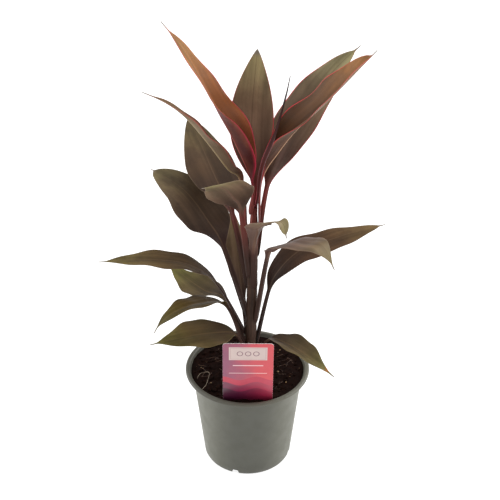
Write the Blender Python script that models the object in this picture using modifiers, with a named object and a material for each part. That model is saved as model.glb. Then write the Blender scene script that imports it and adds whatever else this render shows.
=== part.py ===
"""Potted ti plant: a short cane with long-stalked leaves, standing in a nursery pot with its plant label.

Metres, +Z up. The origin is the middle of the pot's underside, and -Y is the plant's front.
Lengths in the tables below are millimetres, turned into metres by MM.
"""

import math
from collections import namedtuple

import bmesh
import bpy
from mathutils import Vector, noise

MM = 0.001
UP = Vector((0, 0, 1))
GAP = 0.35 * MM  # clearance between pieces that touch

# Pot: a turned shell with a downturned lip, a dished floor on a foot ring, and drain notches
POT_HEIGHT = 102.5 * MM
POT_LIP_RADIUS = 60.0 * MM
POT_LIP_INNER_RADIUS = 56.3 * MM
POT_LIP_SKIRT = 99.8 * MM  # height of the lip's lower edge
POT_WALL_TOP = 96.0 * MM
POT_WALL_TOP_RADIUS = 53.1 * MM
POT_WALL_BASE_RADIUS = 42.4 * MM
POT_WALL = 1.3 * MM
POT_FOOT_OUTER_RADIUS = 40.9 * MM
POT_FOOT_INNER_RADIUS = 36.5 * MM
POT_FLOOR_UNDERSIDE = 5.2 * MM
POT_FLOOR_TOP = POT_FLOOR_UNDERSIDE + 1.4 * MM
POT_DISH_RADIUS = 24.5 * MM
POT_DISH_TOP = 1.4 * MM
POT_SIDES = 36
NOTCH_COUNT = 4
NOTCH_WIDTH = 8.5 * MM
NOTCH_HEIGHT = 5.2 * MM
NOTCH_DEPTH = 9.0 * MM
NOTCH_TOP_SHARE = 0.72  # the notch narrows towards its top
NOTCH_HEADING = -106.6  # degrees from +X, just left of the front
DRAIN_HOLE_RADIUS = 3.2 * MM
DRAIN_HOLE_CIRCLE = 31.5 * MM
DRAIN_HOLE_LENGTH = 6 * MM

# Soil: fills the pot almost to its rim, with a rough top mounded round the cane
SOIL_LEVEL = 99.2 * MM
SOIL_ROUGHNESS = 1.4 * MM
SOIL_CLOD = 9 * MM
SOIL_MOUND = 1.5 * MM
SOIL_MOUND_RADIUS = 20 * MM
SOIL_RINGS = (7, 14, 22, 30, 38, 45)

# Cane: rises from the soil and carries the leaf stalks
CANE_FOOT = Vector((1.5, 0, 48)) * MM
CANE_TOP = Vector((6.2, 0, 282)) * MM
CANE_FOOT_RADIUS = 6.2 * MM
CANE_TOP_RADIUS = 4.2 * MM
CANE_TIP_LENGTH = 24 * MM  # over which the cane narrows to its growing tip
CANE_TIP_RADIUS = 2.6 * MM
CANE_SIDES = 12
CANE_SCAR_SPACING = 15 * MM
CANE_SCAR_DEPTH = 0.35 * MM
CANE_SCAR_LIP = 1.2 * MM  # height over which a scar's ring widens back to the cane
CANE_LOWEST_SCAR = 7 * MM  # above the cane's foot

# Label: a printed card on a stake, standing in the soil just inside the rim
LABEL_WIDTH = 46.6 * MM
LABEL_CARD_HEIGHT = 72.4 * MM
LABEL_CORNER = 3.0 * MM
LABEL_FOOT_CORNER = 1.2 * MM
LABEL_SHOULDER = 4.0 * MM  # how far the card's slanted foot starts from the stake
LABEL_SHOULDER_DROP = 4.4 * MM
LABEL_STAKE_WIDTH = 15.0 * MM
LABEL_STAKE_LENGTH = 44.8 * MM
LABEL_STAKE_POINT = 9.0 * MM
LABEL_THICKNESS = 0.7 * MM
LABEL_FOOT = Vector((-0.1, -43.3, 55)) * MM
LABEL_LEAN = 6.4  # degrees forward from upright
LABEL_SPIN = -0.5  # degrees in its own plane

# Leaves: stalk and blade are one thin shell, thickest along the stalk and the midrib
STALK_FOOT_WRAP = 0.8  # half width of the stalk's sheathing foot, as a share of the cane's radius
STALK_FOOT_THICKNESS = 0.9 * MM
STALK_HALF_WIDTH = 2.7 * MM
STALK_THICKNESS = 1.7 * MM
BLADE_THICKNESS = 0.8 * MM
STALK_ROWS = 5
BLADE_ROWS = 16
ROWS_ACROSS = 4
BLADE_TAPER_BASE = 1.05
MARGIN_WAVE = 1.0 * MM
MARGIN_WAVES = 3.5
MARGIN_WAVE_LAG = 1.3  # radians between the two margins' waves
STALK_CHANNEL_START = 6  # degrees off flat beside the stalk's middle
STALK_CHANNEL_BEND = 40  # degrees more at the stalk's edges
STALK_HUG = 0.4  # share of the stalk that opens from hugging the cane to its channel
STALK_FOOT_SHARE = 0.3  # share of the stalk over which its foot thickens
BLADE_OPENING = 0.3  # share of the blade over which the channel opens to the blade's own fold
RIB_LENGTH = 0.8  # share of the blade over which the midrib thins to half
RIB_HALF_WIDTH = 0.5  # share of the half width over which the midrib fades to the thin blade
STALK_TO_BLADE = 0.3  # length of the change in thickness, a third of it on the stalk
SECTION_STEPS = 8
FOLD_ROUND = 2 * MM  # how far from the midrib the fold reaches its full angle
CLASP_START = 0.12  # share of the blade over which a young leaf's clasping fold closes
CLASP_LENGTH = 0.45  # and over which it then opens again

# height: where the stalk leaves the cane. heading: degrees from +X, as seen from above.
# spine: blade start, points along the midrib, tip. width: full width of the blade.
# roll, fold, curl: degrees at the blade's start and at its tip. clasp: degrees by which it is folded more
# near its base. outline: how far the widest place is from the middle, how pointed the tip is, and the share
# of the blade's length before its thin drip tip. young: still copper-coloured.
ORDINARY = (0.92, 1.1, 0.93)
LEAF_FIELDS = "name height heading spine width roll fold curl outline clasp young"
Leaf = namedtuple("Leaf", LEAF_FIELDS, defaults=(ORDINARY, 0, False))

LEAVES = (
    Leaf(
        "leaf_low_right", 108, 335,
        [(20, -10, 141), (35, -26, 150), (51, -44, 152), (66, -58, 148), (80, -66, 140)],
        27, (0, 0), (35, 22), (-10, -10),
    ),
    Leaf(
        "leaf_low_left", 113, 246,
        [(-11, -14, 150), (-36, -32, 165), (-63, -48, 171), (-89, -58, 171)],
        40, (10, 4), (12, 8), (-12, -10),
    ),
    Leaf(
        "leaf_drooping_left", 124, 200,
        [(-20, -8, 179), (-45, -34, 200), (-66, -52, 203), (-78, -60, 196), (-84, -63, 187)],
        32, (-12, -12), (22, 12), (-16, -16),
    ),
    Leaf(
        "leaf_low_back", 118, 142,
        [(-20, 14, 169), (-41, 36, 166), (-59, 58, 165), (-82, 80, 170)],
        36, (0, 0), (14, 8), (-12, -10),
    ),
    Leaf(
        "leaf_long_left", 141, 176,
        [(-28, 2, 196), (-54, -3, 222), (-92, -10, 232), (-135, -20, 236)],
        31, (0, 0), (14, 8), (-12, -10), (0.92, 0.95, 0.95),
    ),
    Leaf(
        "leaf_long_right", 128, 15,
        [(20.3, 4, 187), (30, 10, 208), (50, 23, 221.3), (77, 33, 226), (101, 42.5, 229), (132, 54, 230.5)],
        36, (-5, -3), (10, 0), (-12, -10), (0.87, 0.7, 0.95),
    ),
    Leaf(
        "leaf_inner_back", 132, 100,
        [(-4, 16, 169), (-9, 42, 195), (-13, 64, 220), (-17, 82, 243)],
        22, (0, 0), (14, 8), (-12, -10),
    ),
    Leaf(
        "leaf_mid_left", 160, 152,
        [(-22, 10, 232), (-37, 34, 247), (-60, 58, 266), (-92, 76, 279)],
        51, (10, 0), (10, 6), (-10, -8), (0.92, 0.5, 0.96),
    ),
    Leaf(
        "leaf_front_right", 157, 325,
        [(18.4, -14, 236), (24.5, -24, 251), (38.4, -38, 268.4), (52, -51, 275), (65, -60, 277.7),
         (76, -64.5, 256)],
        42, (20, -1), (11, 0), (-12, -10), (1.1, 1.43, 0.95),
    ),
    Leaf(
        "leaf_back_left", 190, 128,
        [(-14, 20, 263), (-30, 62, 277), (-45, 100, 293), (-59, 126, 313)],
        48, (0, 0), (10, 6), (-10, -8), (0.92, 0.7, 0.95),
    ),
    Leaf(
        "leaf_front_left", 208, 215,
        [(-5, -12, 282), (-12, -26, 307), (-22, -46, 329), (-38, -66, 339)],
        42, (-40, -25), (14, 8), (-12, -10), (0.92, 0.8, 0.95),
    ),
    Leaf(
        "leaf_front", 196, 300,
        [(5.7, -10.5, 240), (8.8, -28, 272), (11, -46, 289), (20, -56, 299.4), (30, -61, 302),
         (34, -60, 285.5)],
        25, (16, 9), (34, 7), (-12, -10), (0.81, 0.5, 0.95), 36,
    ),
    Leaf(
        "leaf_back_right", 226, 48,
        [(18, 14, 294), (32, 24, 332), (54, 36, 367), (77, 46, 395), (100, 52, 416)],
        41, (-25, -25), (10, 6), (-10, -8), (0.92, 0.75, 0.95),
    ),
    Leaf(
        "leaf_narrow_left", 238, 165,
        [(-5, 3.5, 304), (-17, -10, 327), (-34, -16, 356), (-52, -22, 383), (-69, -24, 398), (-88, -23, 407)],
        17, (-13, 8), (56, 35), (-8, -8), (0.7, 0.7, 0.93), 48,
    ),
    Leaf(
        "leaf_top_back", 250, 95,
        [(7, 10, 299), (4, 20, 338), (5, 31, 372), (9, 41, 417)],
        39, (0, 0), (12, 8), (-10, -8), (0.92, 0.85, 1.0),
    ),
    Leaf(
        "leaf_young_right", 262, 0,
        [(13, -1, 311), (28, -3, 341), (43, -5, 363), (60, -6, 381), (76, -10, 401), (108, -12, 440)],
        51, (-2, -5), (5, 37), (-8, -8), (1.05, 0.6, 0.95), 38, young=True,
    ),
    Leaf(
        "leaf_young_left", 276, 220,
        [(4.2, -2, 308), (-10, 3, 345), (-24, 8, 371), (-38, 9, 401), (-53, 9, 430), (-72, 6, 458)],
        46, (-8, 5), (44, 0), (-8, -8), (0.75, 0.8, 0.93), 24, young=True,
    ),
)

# Spear: the newest leaf, still rolled, standing on the cane's tip in the heart of the plant
SPEAR_PATH = (
    (7.6, -1.8, 282.9), (9.8, -9.5, 301.6), (11, -16, 320.7), (14.5, -20.5, 340.7),
    (24, -22, 368.1), (32, -19, 398.5), (36, -16, 417.9),
)
SPEAR_RADII = (1.2, 1.3, 1.6, 1.8, 1.1, 0.7, 0.3)
SPEAR_BEVEL_RESOLUTION = 2


# Curves and sections

def cane_axis(height):
    """The cane's centre at a height, carried on in a straight line above its top."""
    share = (height - CANE_FOOT.z) / (CANE_TOP.z - CANE_FOOT.z)
    return CANE_FOOT.lerp(CANE_TOP, share)


def cane_radius(height):
    share = min(1.0, max(0.0, (height - CANE_FOOT.z) / (CANE_TOP.z - CANE_FOOT.z)))
    return CANE_FOOT_RADIUS + (CANE_TOP_RADIUS - CANE_FOOT_RADIUS) * share


def smooth(share):
    share = min(1.0, max(0.0, share))
    return share * share * (3 - 2 * share)


def mix(pair, share):
    return pair[0] + (pair[1] - pair[0]) * share


def spline_point(points, position):
    """A point on the Catmull-Rom curve through the points, at a position counted in points."""
    index = min(int(position), len(points) - 2)
    t = position - index
    before = points[index - 1] if index > 0 else 2 * points[0] - points[1]
    a, b = points[index], points[index + 1]
    after = points[index + 2] if index + 2 < len(points) else 2 * points[-1] - points[-2]
    return 0.5 * (
        2 * a + (b - before) * t + (2 * before - 5 * a + 4 * b - after) * t**2
        + (3 * a - before - 3 * b + after) * t**3
    )


class Spine:
    """A leaf's midrib. Along is -1 at the cane, 0 where the blade starts and 1 at its tip."""

    SAMPLES = 24  # for each span between two points

    def __init__(self, leaf):
        heading = math.radians(leaf.heading)
        outward = Vector((math.cos(heading), math.sin(heading), 0))
        height = leaf.height * MM
        self.cane_reach = cane_radius(height) + GAP + STALK_FOOT_THICKNESS / 2
        self.foot_half_width = cane_radius(height) * STALK_FOOT_WRAP
        base = cane_axis(height) + outward * self.cane_reach
        self.points = [base] + [Vector(point) * MM for point in leaf.spine]
        self.stalk_side = outward.cross(UP)
        self.blade_side = (self.points[-1] - self.points[1]).cross(UP).normalized()
        count = self.SAMPLES * (len(self.points) - 1)
        self.samples = [spline_point(self.points, i / self.SAMPLES) for i in range(count + 1)]
        self.lengths = [0.0]
        for start, end in zip(self.samples, self.samples[1:]):
            self.lengths.append(self.lengths[-1] + (end - start).length)

    def at(self, along):
        stalk = self.lengths[self.SAMPLES]
        blade = self.lengths[-1] - stalk
        wanted = stalk * (1 + along) if along < 0 else stalk + blade * along
        index = 0
        while index < len(self.lengths) - 2 and self.lengths[index + 1] < wanted:
            index += 1
        span = self.lengths[index + 1] - self.lengths[index]
        return self.samples[index].lerp(self.samples[index + 1], (wanted - self.lengths[index]) / span)

    def direction(self, along):
        step = 0.01
        return (self.at(min(1, along + step)) - self.at(max(-1, along - step))).normalized()


def half_width(leaf, spine, along):
    """Half of the leaf's flattened width: a narrowing stalk, then a blade that tapers to a drip tip."""
    if along <= 0:
        return mix((spine.foot_half_width, STALK_HALF_WIDTH), smooth(along + 1))
    skew, pointed, body_length = leaf.outline
    taper = mix((BLADE_TAPER_BASE, pointed), along)
    reach = min(1.0, along / body_length)
    body = leaf.width / 2 * MM * math.sin(math.pi * reach**skew) ** taper
    return math.hypot(body, STALK_HALF_WIDTH * math.sqrt(1 - along))


def leaf_point(leaf, spine, along, across):
    """A point of the leaf's middle surface. across runs from -1 to 1, margin to margin."""
    tangent = spine.direction(along)
    side = spine.stalk_side.lerp(spine.blade_side, smooth(along + 1))
    side = (side - tangent * side.dot(tangent)).normalized()
    normal = side.cross(tangent)
    blade_share = max(0.0, along)
    roll = math.radians(mix(leaf.roll, blade_share) * smooth(along + 1))
    side, normal = (
        side * math.cos(roll) + normal * math.sin(roll),
        normal * math.cos(roll) - side * math.sin(roll),
    )
    # Cross-section angles: hugging the cane, then a channelled stalk, then the folded blade
    width = half_width(leaf, spine, along)
    hug = (0.0, width / spine.cane_reach)
    channel = (math.radians(STALK_CHANNEL_START), math.radians(STALK_CHANNEL_BEND))
    blade = (math.radians(mix(leaf.fold, blade_share)), math.radians(mix(leaf.curl, blade_share)))
    if along < 0:
        share = smooth((along + 1) / STALK_HUG)
        start, bend = (mix(pair, share) for pair in zip(hug, channel))
    else:
        share = smooth(along / BLADE_OPENING)
        start, bend = (mix(pair, share) for pair in zip(channel, blade))
        opening = 1 - smooth((along - CLASP_START) / CLASP_LENGTH)
        start += math.radians(leaf.clasp) * smooth(along / CLASP_START) * opening
    outward, lift = 0.0, 0.0
    for step in range(SECTION_STEPS):
        share = abs(across) * (step + 0.5) / SECTION_STEPS
        angle = start * smooth(share * width / FOLD_ROUND) + bend * share
        outward += math.cos(angle) * abs(across) * width / SECTION_STEPS
        lift += math.sin(angle) * abs(across) * width / SECTION_STEPS
    if along > 0:
        phase = MARGIN_WAVE_LAG if across > 0 else 0.0
        envelope = math.sin(math.pi * along) * across * across
        lift += MARGIN_WAVE * envelope * math.sin(2 * math.pi * MARGIN_WAVES * along + phase)
    return spine.at(along) + side * math.copysign(outward, across) + normal * lift


def leaf_thickness(along, across):
    """Share of the stalk's thickness: thin at its foot, full above, thin at the blade's margins and tip."""
    thin = BLADE_THICKNESS / STALK_THICKNESS
    rib = 1 - 0.5 * smooth(along / RIB_LENGTH)
    blade = thin + max(0.0, rib - thin) * (1 - smooth(abs(across) / RIB_HALF_WIDTH))
    foot = STALK_FOOT_THICKNESS / STALK_THICKNESS
    stalk = mix((foot, 1.0), smooth((along + 1) / STALK_FOOT_SHARE))
    return mix((stalk, blade), smooth((along + STALK_TO_BLADE / 3) / STALK_TO_BLADE))


# Objects

def clear_scene():
    for thing in list(bpy.data.objects):
        bpy.data.objects.remove(thing)


def new_collection(name):
    collection = bpy.data.collections.new(name)
    bpy.context.scene.collection.children.link(collection)
    return collection


def new_material(name, colour, roughness):
    material = bpy.data.materials.new(name)
    material.use_nodes = True
    shader = material.node_tree.nodes["Principled BSDF"]
    shader.inputs["Base Color"].default_value = (*colour, 1)
    shader.inputs["Roughness"].default_value = roughness
    shader.inputs["Metallic"].default_value = 0
    return material


def new_object(name, mesh, collection, material=None):
    thing = bpy.data.objects.new(name, mesh)
    collection.objects.link(thing)
    if material:
        mesh.materials.append(material)
    return thing


def mesh_from(bm, name):
    mesh = bpy.data.meshes.new(name)
    bm.to_mesh(mesh)
    bm.free()
    return mesh


def welded(mesh):
    """The mesh of a curve with its caps joined on."""
    bm = bmesh.new()
    bm.from_mesh(mesh)
    bmesh.ops.remove_doubles(bm, verts=bm.verts, dist=0.01 * MM)
    bm.to_mesh(mesh)
    bm.free()
    return mesh


def smooth_shaded(mesh, sharp_angle=40):
    mesh.shade_smooth()
    mesh.set_sharp_from_angle(angle=math.radians(sharp_angle))
    return mesh


def add_boolean(target, cutter):
    cut = target.modifiers.new("cut", "BOOLEAN")
    cut.operation = "DIFFERENCE"
    cut.solver = "EXACT"
    cut.object = cutter


def as_cutter(thing):
    thing.hide_render = True
    thing.display_type = "WIRE"
    return thing


def turned(name, profile, sides, collection, material=None):
    """A solid turned about Z from a profile of (radius, height) points that starts and ends on the axis."""
    mesh = bpy.data.meshes.new(name)
    points = [(radius, 0, height) for radius, height in profile]
    mesh.from_pydata(points, [(i, i + 1) for i in range(len(points) - 1)], [])
    thing = new_object(name, mesh, collection, material)
    screw = thing.modifiers.new("turn", "SCREW")
    screw.axis = "Z"
    screw.steps = screw.render_steps = sides
    screw.use_merge_vertices = True
    screw.merge_threshold = 0.00001
    return thing


# Sub-parts

def pot_wall_radius(height):
    """The outer radius of the pot's tapered wall."""
    return mix((POT_WALL_BASE_RADIUS, POT_WALL_TOP_RADIUS), height / POT_WALL_TOP)


def around(heading, radius, height=0.0):
    """A place at a heading in degrees, a distance from the pot's axis."""
    angle = math.radians(heading)
    return Vector((math.cos(angle) * radius, math.sin(angle) * radius, height))


def make_pot(parts, cutters, material):
    corner = POT_FLOOR_TOP + 2 * MM  # where the floor's rounded corner meets the wall
    flare = 2.6 * MM  # height over which the wall flares out to the lip
    dish_slope = 2.2 * MM
    inside = [
        (0, POT_DISH_TOP),
        (POT_DISH_RADIUS - POT_DISH_TOP, POT_DISH_TOP),
        (POT_DISH_RADIUS + dish_slope - POT_DISH_TOP, POT_FLOOR_TOP),
        (pot_wall_radius(corner) - POT_WALL - 2 * MM, POT_FLOOR_TOP),
        (pot_wall_radius(corner) - POT_WALL, corner),
        (POT_WALL_TOP_RADIUS - POT_WALL, POT_WALL_TOP),
        (POT_LIP_INNER_RADIUS - 1.5 * MM, POT_WALL_TOP + flare),
        (POT_LIP_INNER_RADIUS - 0.8 * MM, POT_HEIGHT - 1.0 * MM),
        (POT_LIP_INNER_RADIUS, POT_HEIGHT),
    ]
    lip = [
        (POT_LIP_RADIUS - 1.8 * MM, POT_HEIGHT),
        (POT_LIP_RADIUS - 0.5 * MM, POT_HEIGHT - 0.6 * MM),
        (POT_LIP_RADIUS, POT_HEIGHT - 1.9 * MM),
        (POT_LIP_RADIUS, POT_LIP_SKIRT),
        (POT_LIP_RADIUS - POT_WALL, POT_LIP_SKIRT),
        (POT_LIP_RADIUS - POT_WALL, POT_HEIGHT - POT_WALL - 0.7 * MM),
        (POT_LIP_RADIUS - 2.0 * MM, POT_HEIGHT - POT_WALL),
        (POT_LIP_INNER_RADIUS + 0.6 * MM, POT_HEIGHT - POT_WALL),
    ]
    outside = [
        (POT_LIP_INNER_RADIUS - 0.1 * MM, POT_WALL_TOP + flare - 0.4 * MM),
        (POT_WALL_TOP_RADIUS, POT_WALL_TOP - 0.4 * MM),
        (pot_wall_radius(3 * MM), 3 * MM),
        (POT_FOOT_OUTER_RADIUS + 0.7 * MM, 0.8 * MM),
        (POT_FOOT_OUTER_RADIUS, 0),
        (POT_FOOT_INNER_RADIUS, 0),
        (POT_FOOT_INNER_RADIUS - 1.2 * MM, POT_FLOOR_UNDERSIDE),
        (POT_DISH_RADIUS + dish_slope, POT_FLOOR_UNDERSIDE),
        (POT_DISH_RADIUS, 0),
        (0, 0),
    ]
    pot = turned("pot", inside + lip + outside, POT_SIDES, parts, material)
    for index in range(NOTCH_COUNT):
        heading = NOTCH_HEADING + 360 / NOTCH_COUNT * index
        bm = bmesh.new()
        bmesh.ops.create_cube(bm, size=1)
        bmesh.ops.scale(bm, verts=bm.verts, vec=(NOTCH_DEPTH, NOTCH_WIDTH, 2 * NOTCH_HEIGHT))
        top = [vertex for vertex in bm.verts if vertex.co.z > 0]
        bmesh.ops.scale(bm, verts=top, vec=(1, NOTCH_TOP_SHARE, 1))
        notch = as_cutter(new_object(f"notch_{index + 1}", mesh_from(bm, "notch"), cutters))
        notch.location = around(heading, POT_FOOT_OUTER_RADIUS - 1 * MM)
        notch.rotation_euler = (0, 0, math.radians(heading))
        add_boolean(pot, notch)
        bm = bmesh.new()
        bmesh.ops.create_cone(
            bm,
            cap_ends=True,
            segments=10,
            radius1=DRAIN_HOLE_RADIUS,
            radius2=DRAIN_HOLE_RADIUS,
            depth=DRAIN_HOLE_LENGTH,
        )
        hole = as_cutter(new_object(f"drain_hole_{index + 1}", mesh_from(bm, "drain_hole"), cutters))
        between = heading + 180 / NOTCH_COUNT
        hole.location = around(between, DRAIN_HOLE_CIRCLE, POT_FLOOR_UNDERSIDE + 0.7 * MM)
        add_boolean(pot, hole)
    return pot


def make_soil(parts, cutters, material, label_slot):
    clear = POT_WALL + GAP
    corner = POT_FLOOR_TOP + 2.6 * MM
    edge = POT_LIP_INNER_RADIUS - 1.5 * MM - GAP
    profile = [(0, SOIL_LEVEL)]
    profile += [(radius * MM, SOIL_LEVEL) for radius in SOIL_RINGS]
    profile += [
        (edge, SOIL_LEVEL - 0.3 * MM),
        (POT_WALL_TOP_RADIUS - clear, POT_WALL_TOP + 0.15 * MM),
        (pot_wall_radius(corner) - clear, corner),
        (pot_wall_radius(corner) - clear - 2.6 * MM, POT_FLOOR_TOP + GAP),
        (POT_DISH_RADIUS + 0.4 * MM, POT_FLOOR_TOP + GAP),
        (POT_DISH_RADIUS - 2.2 * MM, POT_DISH_TOP + GAP),
        (0, POT_DISH_TOP + GAP),
    ]
    blank = turned("soil_blank", profile, POT_SIDES, parts)
    graph = bpy.context.evaluated_depsgraph_get()
    mesh = bpy.data.meshes.new_from_object(blank.evaluated_get(graph))
    bpy.data.objects.remove(blank)
    for vertex in mesh.vertices:
        if vertex.co.z > SOIL_LEVEL - 0.1 * MM:
            radius = math.hypot(vertex.co.x, vertex.co.y)
            mound = SOIL_MOUND * math.exp(-((radius / SOIL_MOUND_RADIUS) ** 2))
            vertex.co.z += mound + noise.noise(vertex.co / SOIL_CLOD) * SOIL_ROUGHNESS
    soil = new_object("soil", smooth_shaded(mesh), parts, material)
    depth = 60 * MM
    bm = bmesh.new()
    bmesh.ops.create_cone(
        bm,
        cap_ends=True,
        segments=CANE_SIDES,
        radius1=CANE_FOOT_RADIUS + GAP,
        radius2=cane_radius(CANE_FOOT.z + depth) + GAP,
        depth=depth,
    )
    bore = as_cutter(new_object("cane_bore", mesh_from(bm, "cane_bore"), cutters))
    along_cane(bore, depth / 2 - GAP)
    add_boolean(soil, bore)
    add_boolean(soil, label_slot)
    return soil


def along_cane(thing, distance):
    """Stands an object on the cane's axis, tilted as the cane is, a distance up from its foot."""
    direction = (CANE_TOP - CANE_FOOT).normalized()
    thing.location = CANE_FOOT + direction * distance
    thing.rotation_mode = "QUATERNION"
    thing.rotation_quaternion = UP.rotation_difference(direction)


def make_cane(parts, material):
    """The cane, ringed by old leaf scars, from its cut foot in the soil to the growing tip."""
    length = CANE_TOP.z - CANE_FOOT.z
    scars = int((length - CANE_TIP_LENGTH) / CANE_SCAR_SPACING)
    profile = [(0, length), (CANE_TIP_RADIUS, length), (CANE_TOP_RADIUS, length - CANE_TIP_LENGTH)]
    for index in range(scars, 0, -1):
        height = (index - 1) * CANE_SCAR_SPACING + CANE_LOWEST_SCAR
        radius = cane_radius(CANE_FOOT.z + height)
        profile.append((radius, height + CANE_SCAR_LIP))
        profile.append((radius - CANE_SCAR_DEPTH, height))
    profile += [(CANE_FOOT_RADIUS, 1 * MM), (CANE_FOOT_RADIUS - 1 * MM, 0), (0, 0)]
    cane = turned("cane", profile, CANE_SIDES, parts, material)
    along_cane(cane, 0)
    return cane


def make_leaf(leaf, parts, material):
    """One leaf: a flat grid laid on the leaf's surface, closed to a drip tip and given its thickness."""
    spine = Spine(leaf)
    rows = STALK_ROWS + BLADE_ROWS
    bm = bmesh.new()
    bmesh.ops.create_grid(bm, x_segments=rows, y_segments=ROWS_ACROSS, size=1)
    weight = bm.verts.layers.deform.verify()
    tip = []
    for vertex in bm.verts:
        row = round((vertex.co.x + 1) / 2 * rows)
        across = vertex.co.y
        along = (row - STALK_ROWS) / (STALK_ROWS if row < STALK_ROWS else BLADE_ROWS)
        vertex[weight][0] = leaf_thickness(along, across)
        vertex.co = leaf_point(leaf, spine, along, across)
        if row == rows:
            tip.append(vertex)
    bmesh.ops.pointmerge(bm, verts=tip, merge_co=spine.at(1))
    bmesh.ops.triangulate(bm, faces=bm.faces, quad_method="FIXED")
    thing = new_object(leaf.name, smooth_shaded(mesh_from(bm, leaf.name)), parts, material)
    group = thing.vertex_groups.new(name="thickness")
    shell = thing.modifiers.new("thickness", "SOLIDIFY")
    shell.thickness = STALK_THICKNESS
    shell.offset = 0
    shell.vertex_group = group.name
    shell.thickness_vertex_group = 0
    return thing


def make_spear(parts, material):
    """A slim tapered rod along the spear's path, with closed ends."""
    curve = bpy.data.curves.new("spear_leaf", "CURVE")
    curve.dimensions = "3D"
    curve.bevel_depth = 1 * MM
    curve.bevel_resolution = SPEAR_BEVEL_RESOLUTION
    curve.use_fill_caps = True
    curve.resolution_u = 4
    spline = curve.splines.new("NURBS")
    spline.points.add(len(SPEAR_PATH) - 1)
    spline.use_endpoint_u = True
    spline.order_u = 4
    for point, place, radius in zip(spline.points, SPEAR_PATH, SPEAR_RADII):
        point.co = (*(Vector(place) * MM), 1)
        point.radius = radius
    path = bpy.data.objects.new("spear_path", curve)
    parts.objects.link(path)
    graph = bpy.context.evaluated_depsgraph_get()
    mesh = bpy.data.meshes.new_from_object(path.evaluated_get(graph))
    bpy.data.objects.remove(path)
    return new_object("spear_leaf", smooth_shaded(welded(mesh)), parts, material)


def label_outline(clearance):
    """The card's outline with its pointed stake, grown by a clearance; the stake's tip is at the origin."""
    half = LABEL_WIDTH / 2 + clearance
    stake = LABEL_STAKE_WIDTH / 2 + clearance
    shoulder = LABEL_STAKE_LENGTH - clearance
    top = LABEL_STAKE_LENGTH + LABEL_CARD_HEIGHT + clearance
    right = [
        (1.5 * MM, -clearance),
        (stake, LABEL_STAKE_POINT),
        (stake, shoulder - 2 * LABEL_SHOULDER_DROP),
        (stake + LABEL_SHOULDER, shoulder - LABEL_SHOULDER_DROP),
        (half - LABEL_FOOT_CORNER, shoulder),
        (half, shoulder + LABEL_FOOT_CORNER),
    ]
    steps = 4
    for step in range(steps + 1):
        angle = math.pi / 2 * step / steps
        x = half - LABEL_CORNER + LABEL_CORNER * math.cos(angle)
        y = top - LABEL_CORNER + LABEL_CORNER * math.sin(angle)
        right.append((x, y))
    return right + [(-x, y) for x, y in reversed(right)]


def make_label(name, clearance, collection, material=None):
    curve = bpy.data.curves.new(name, "CURVE")
    curve.dimensions = "2D"
    curve.fill_mode = "BOTH"
    curve.extrude = LABEL_THICKNESS / 2 + clearance
    outline = label_outline(clearance)
    spline = curve.splines.new("POLY")
    spline.points.add(len(outline) - 1)
    for point, (x, y) in zip(spline.points, outline):
        point.co = (x, y, 0, 1)
    spline.use_cyclic_u = True
    flat = bpy.data.objects.new(name + "_outline", curve)
    collection.objects.link(flat)
    graph = bpy.context.evaluated_depsgraph_get()
    mesh = bpy.data.meshes.new_from_object(flat.evaluated_get(graph))
    bpy.data.objects.remove(flat)
    label = new_object(name, welded(mesh), collection, material)
    label.location = LABEL_FOOT
    label.rotation_euler = (math.radians(90 + LABEL_LEAN), 0, 0)
    label.rotation_euler.rotate_axis("Z", math.radians(LABEL_SPIN))
    return label


def main():
    clear_scene()
    parts = new_collection("ti_plant")
    cutters = new_collection("cutters")
    pot_plastic = new_material("pot_plastic", (0.15, 0.165, 0.145), 0.55)
    peat = new_material("peat", (0.022, 0.012, 0.009), 0.95)
    cane_bark = new_material("cane_bark", (0.09, 0.055, 0.045), 0.7)
    bronze_leaf = new_material("bronze_leaf", (0.075, 0.05, 0.032), 0.45)
    copper_leaf = new_material("copper_leaf", (0.30, 0.11, 0.05), 0.4)
    card = new_material("label_card", (0.55, 0.08, 0.11), 0.35)

    make_pot(parts, cutters, pot_plastic)
    slot = as_cutter(make_label("label_slot", GAP, cutters))
    make_soil(parts, cutters, peat, slot)
    make_label("label", 0, parts, card)
    make_cane(parts, cane_bark)
    make_spear(parts, bronze_leaf)
    for leaf in LEAVES:
        make_leaf(leaf, parts, copper_leaf if leaf.young else bronze_leaf)


main()
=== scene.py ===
"""Looks of the potted ti plant: veined leaves, stem, crumbly soil, moulded pot and printed label.

Metres, +Z up, and -Y is the plant's front. Lengths in the tables are millimetres, turned into metres by MM.
"""

import math
import random
from collections import namedtuple

import bmesh
import bpy
from mathutils import Matrix, Vector, noise


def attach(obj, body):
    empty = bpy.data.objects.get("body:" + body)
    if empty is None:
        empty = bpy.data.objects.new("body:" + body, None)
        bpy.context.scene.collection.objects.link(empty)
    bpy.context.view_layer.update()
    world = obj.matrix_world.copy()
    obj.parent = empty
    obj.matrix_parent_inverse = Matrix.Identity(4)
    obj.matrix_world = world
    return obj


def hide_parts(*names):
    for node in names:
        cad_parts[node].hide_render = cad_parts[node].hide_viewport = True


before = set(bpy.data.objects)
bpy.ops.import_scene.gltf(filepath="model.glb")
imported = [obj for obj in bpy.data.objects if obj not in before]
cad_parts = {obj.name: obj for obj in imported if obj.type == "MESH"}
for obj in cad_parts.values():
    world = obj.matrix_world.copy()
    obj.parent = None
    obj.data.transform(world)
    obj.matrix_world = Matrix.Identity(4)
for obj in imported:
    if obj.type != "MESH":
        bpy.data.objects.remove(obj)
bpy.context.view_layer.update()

MM = 0.001
UP = Vector((0, 0, 1))
ORIGIN = Vector((0, 0, 0))
MERGE_DISTANCE = 0.002 * MM
NEARLY_NOTHING = 1e-6
SEED = 7

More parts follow.
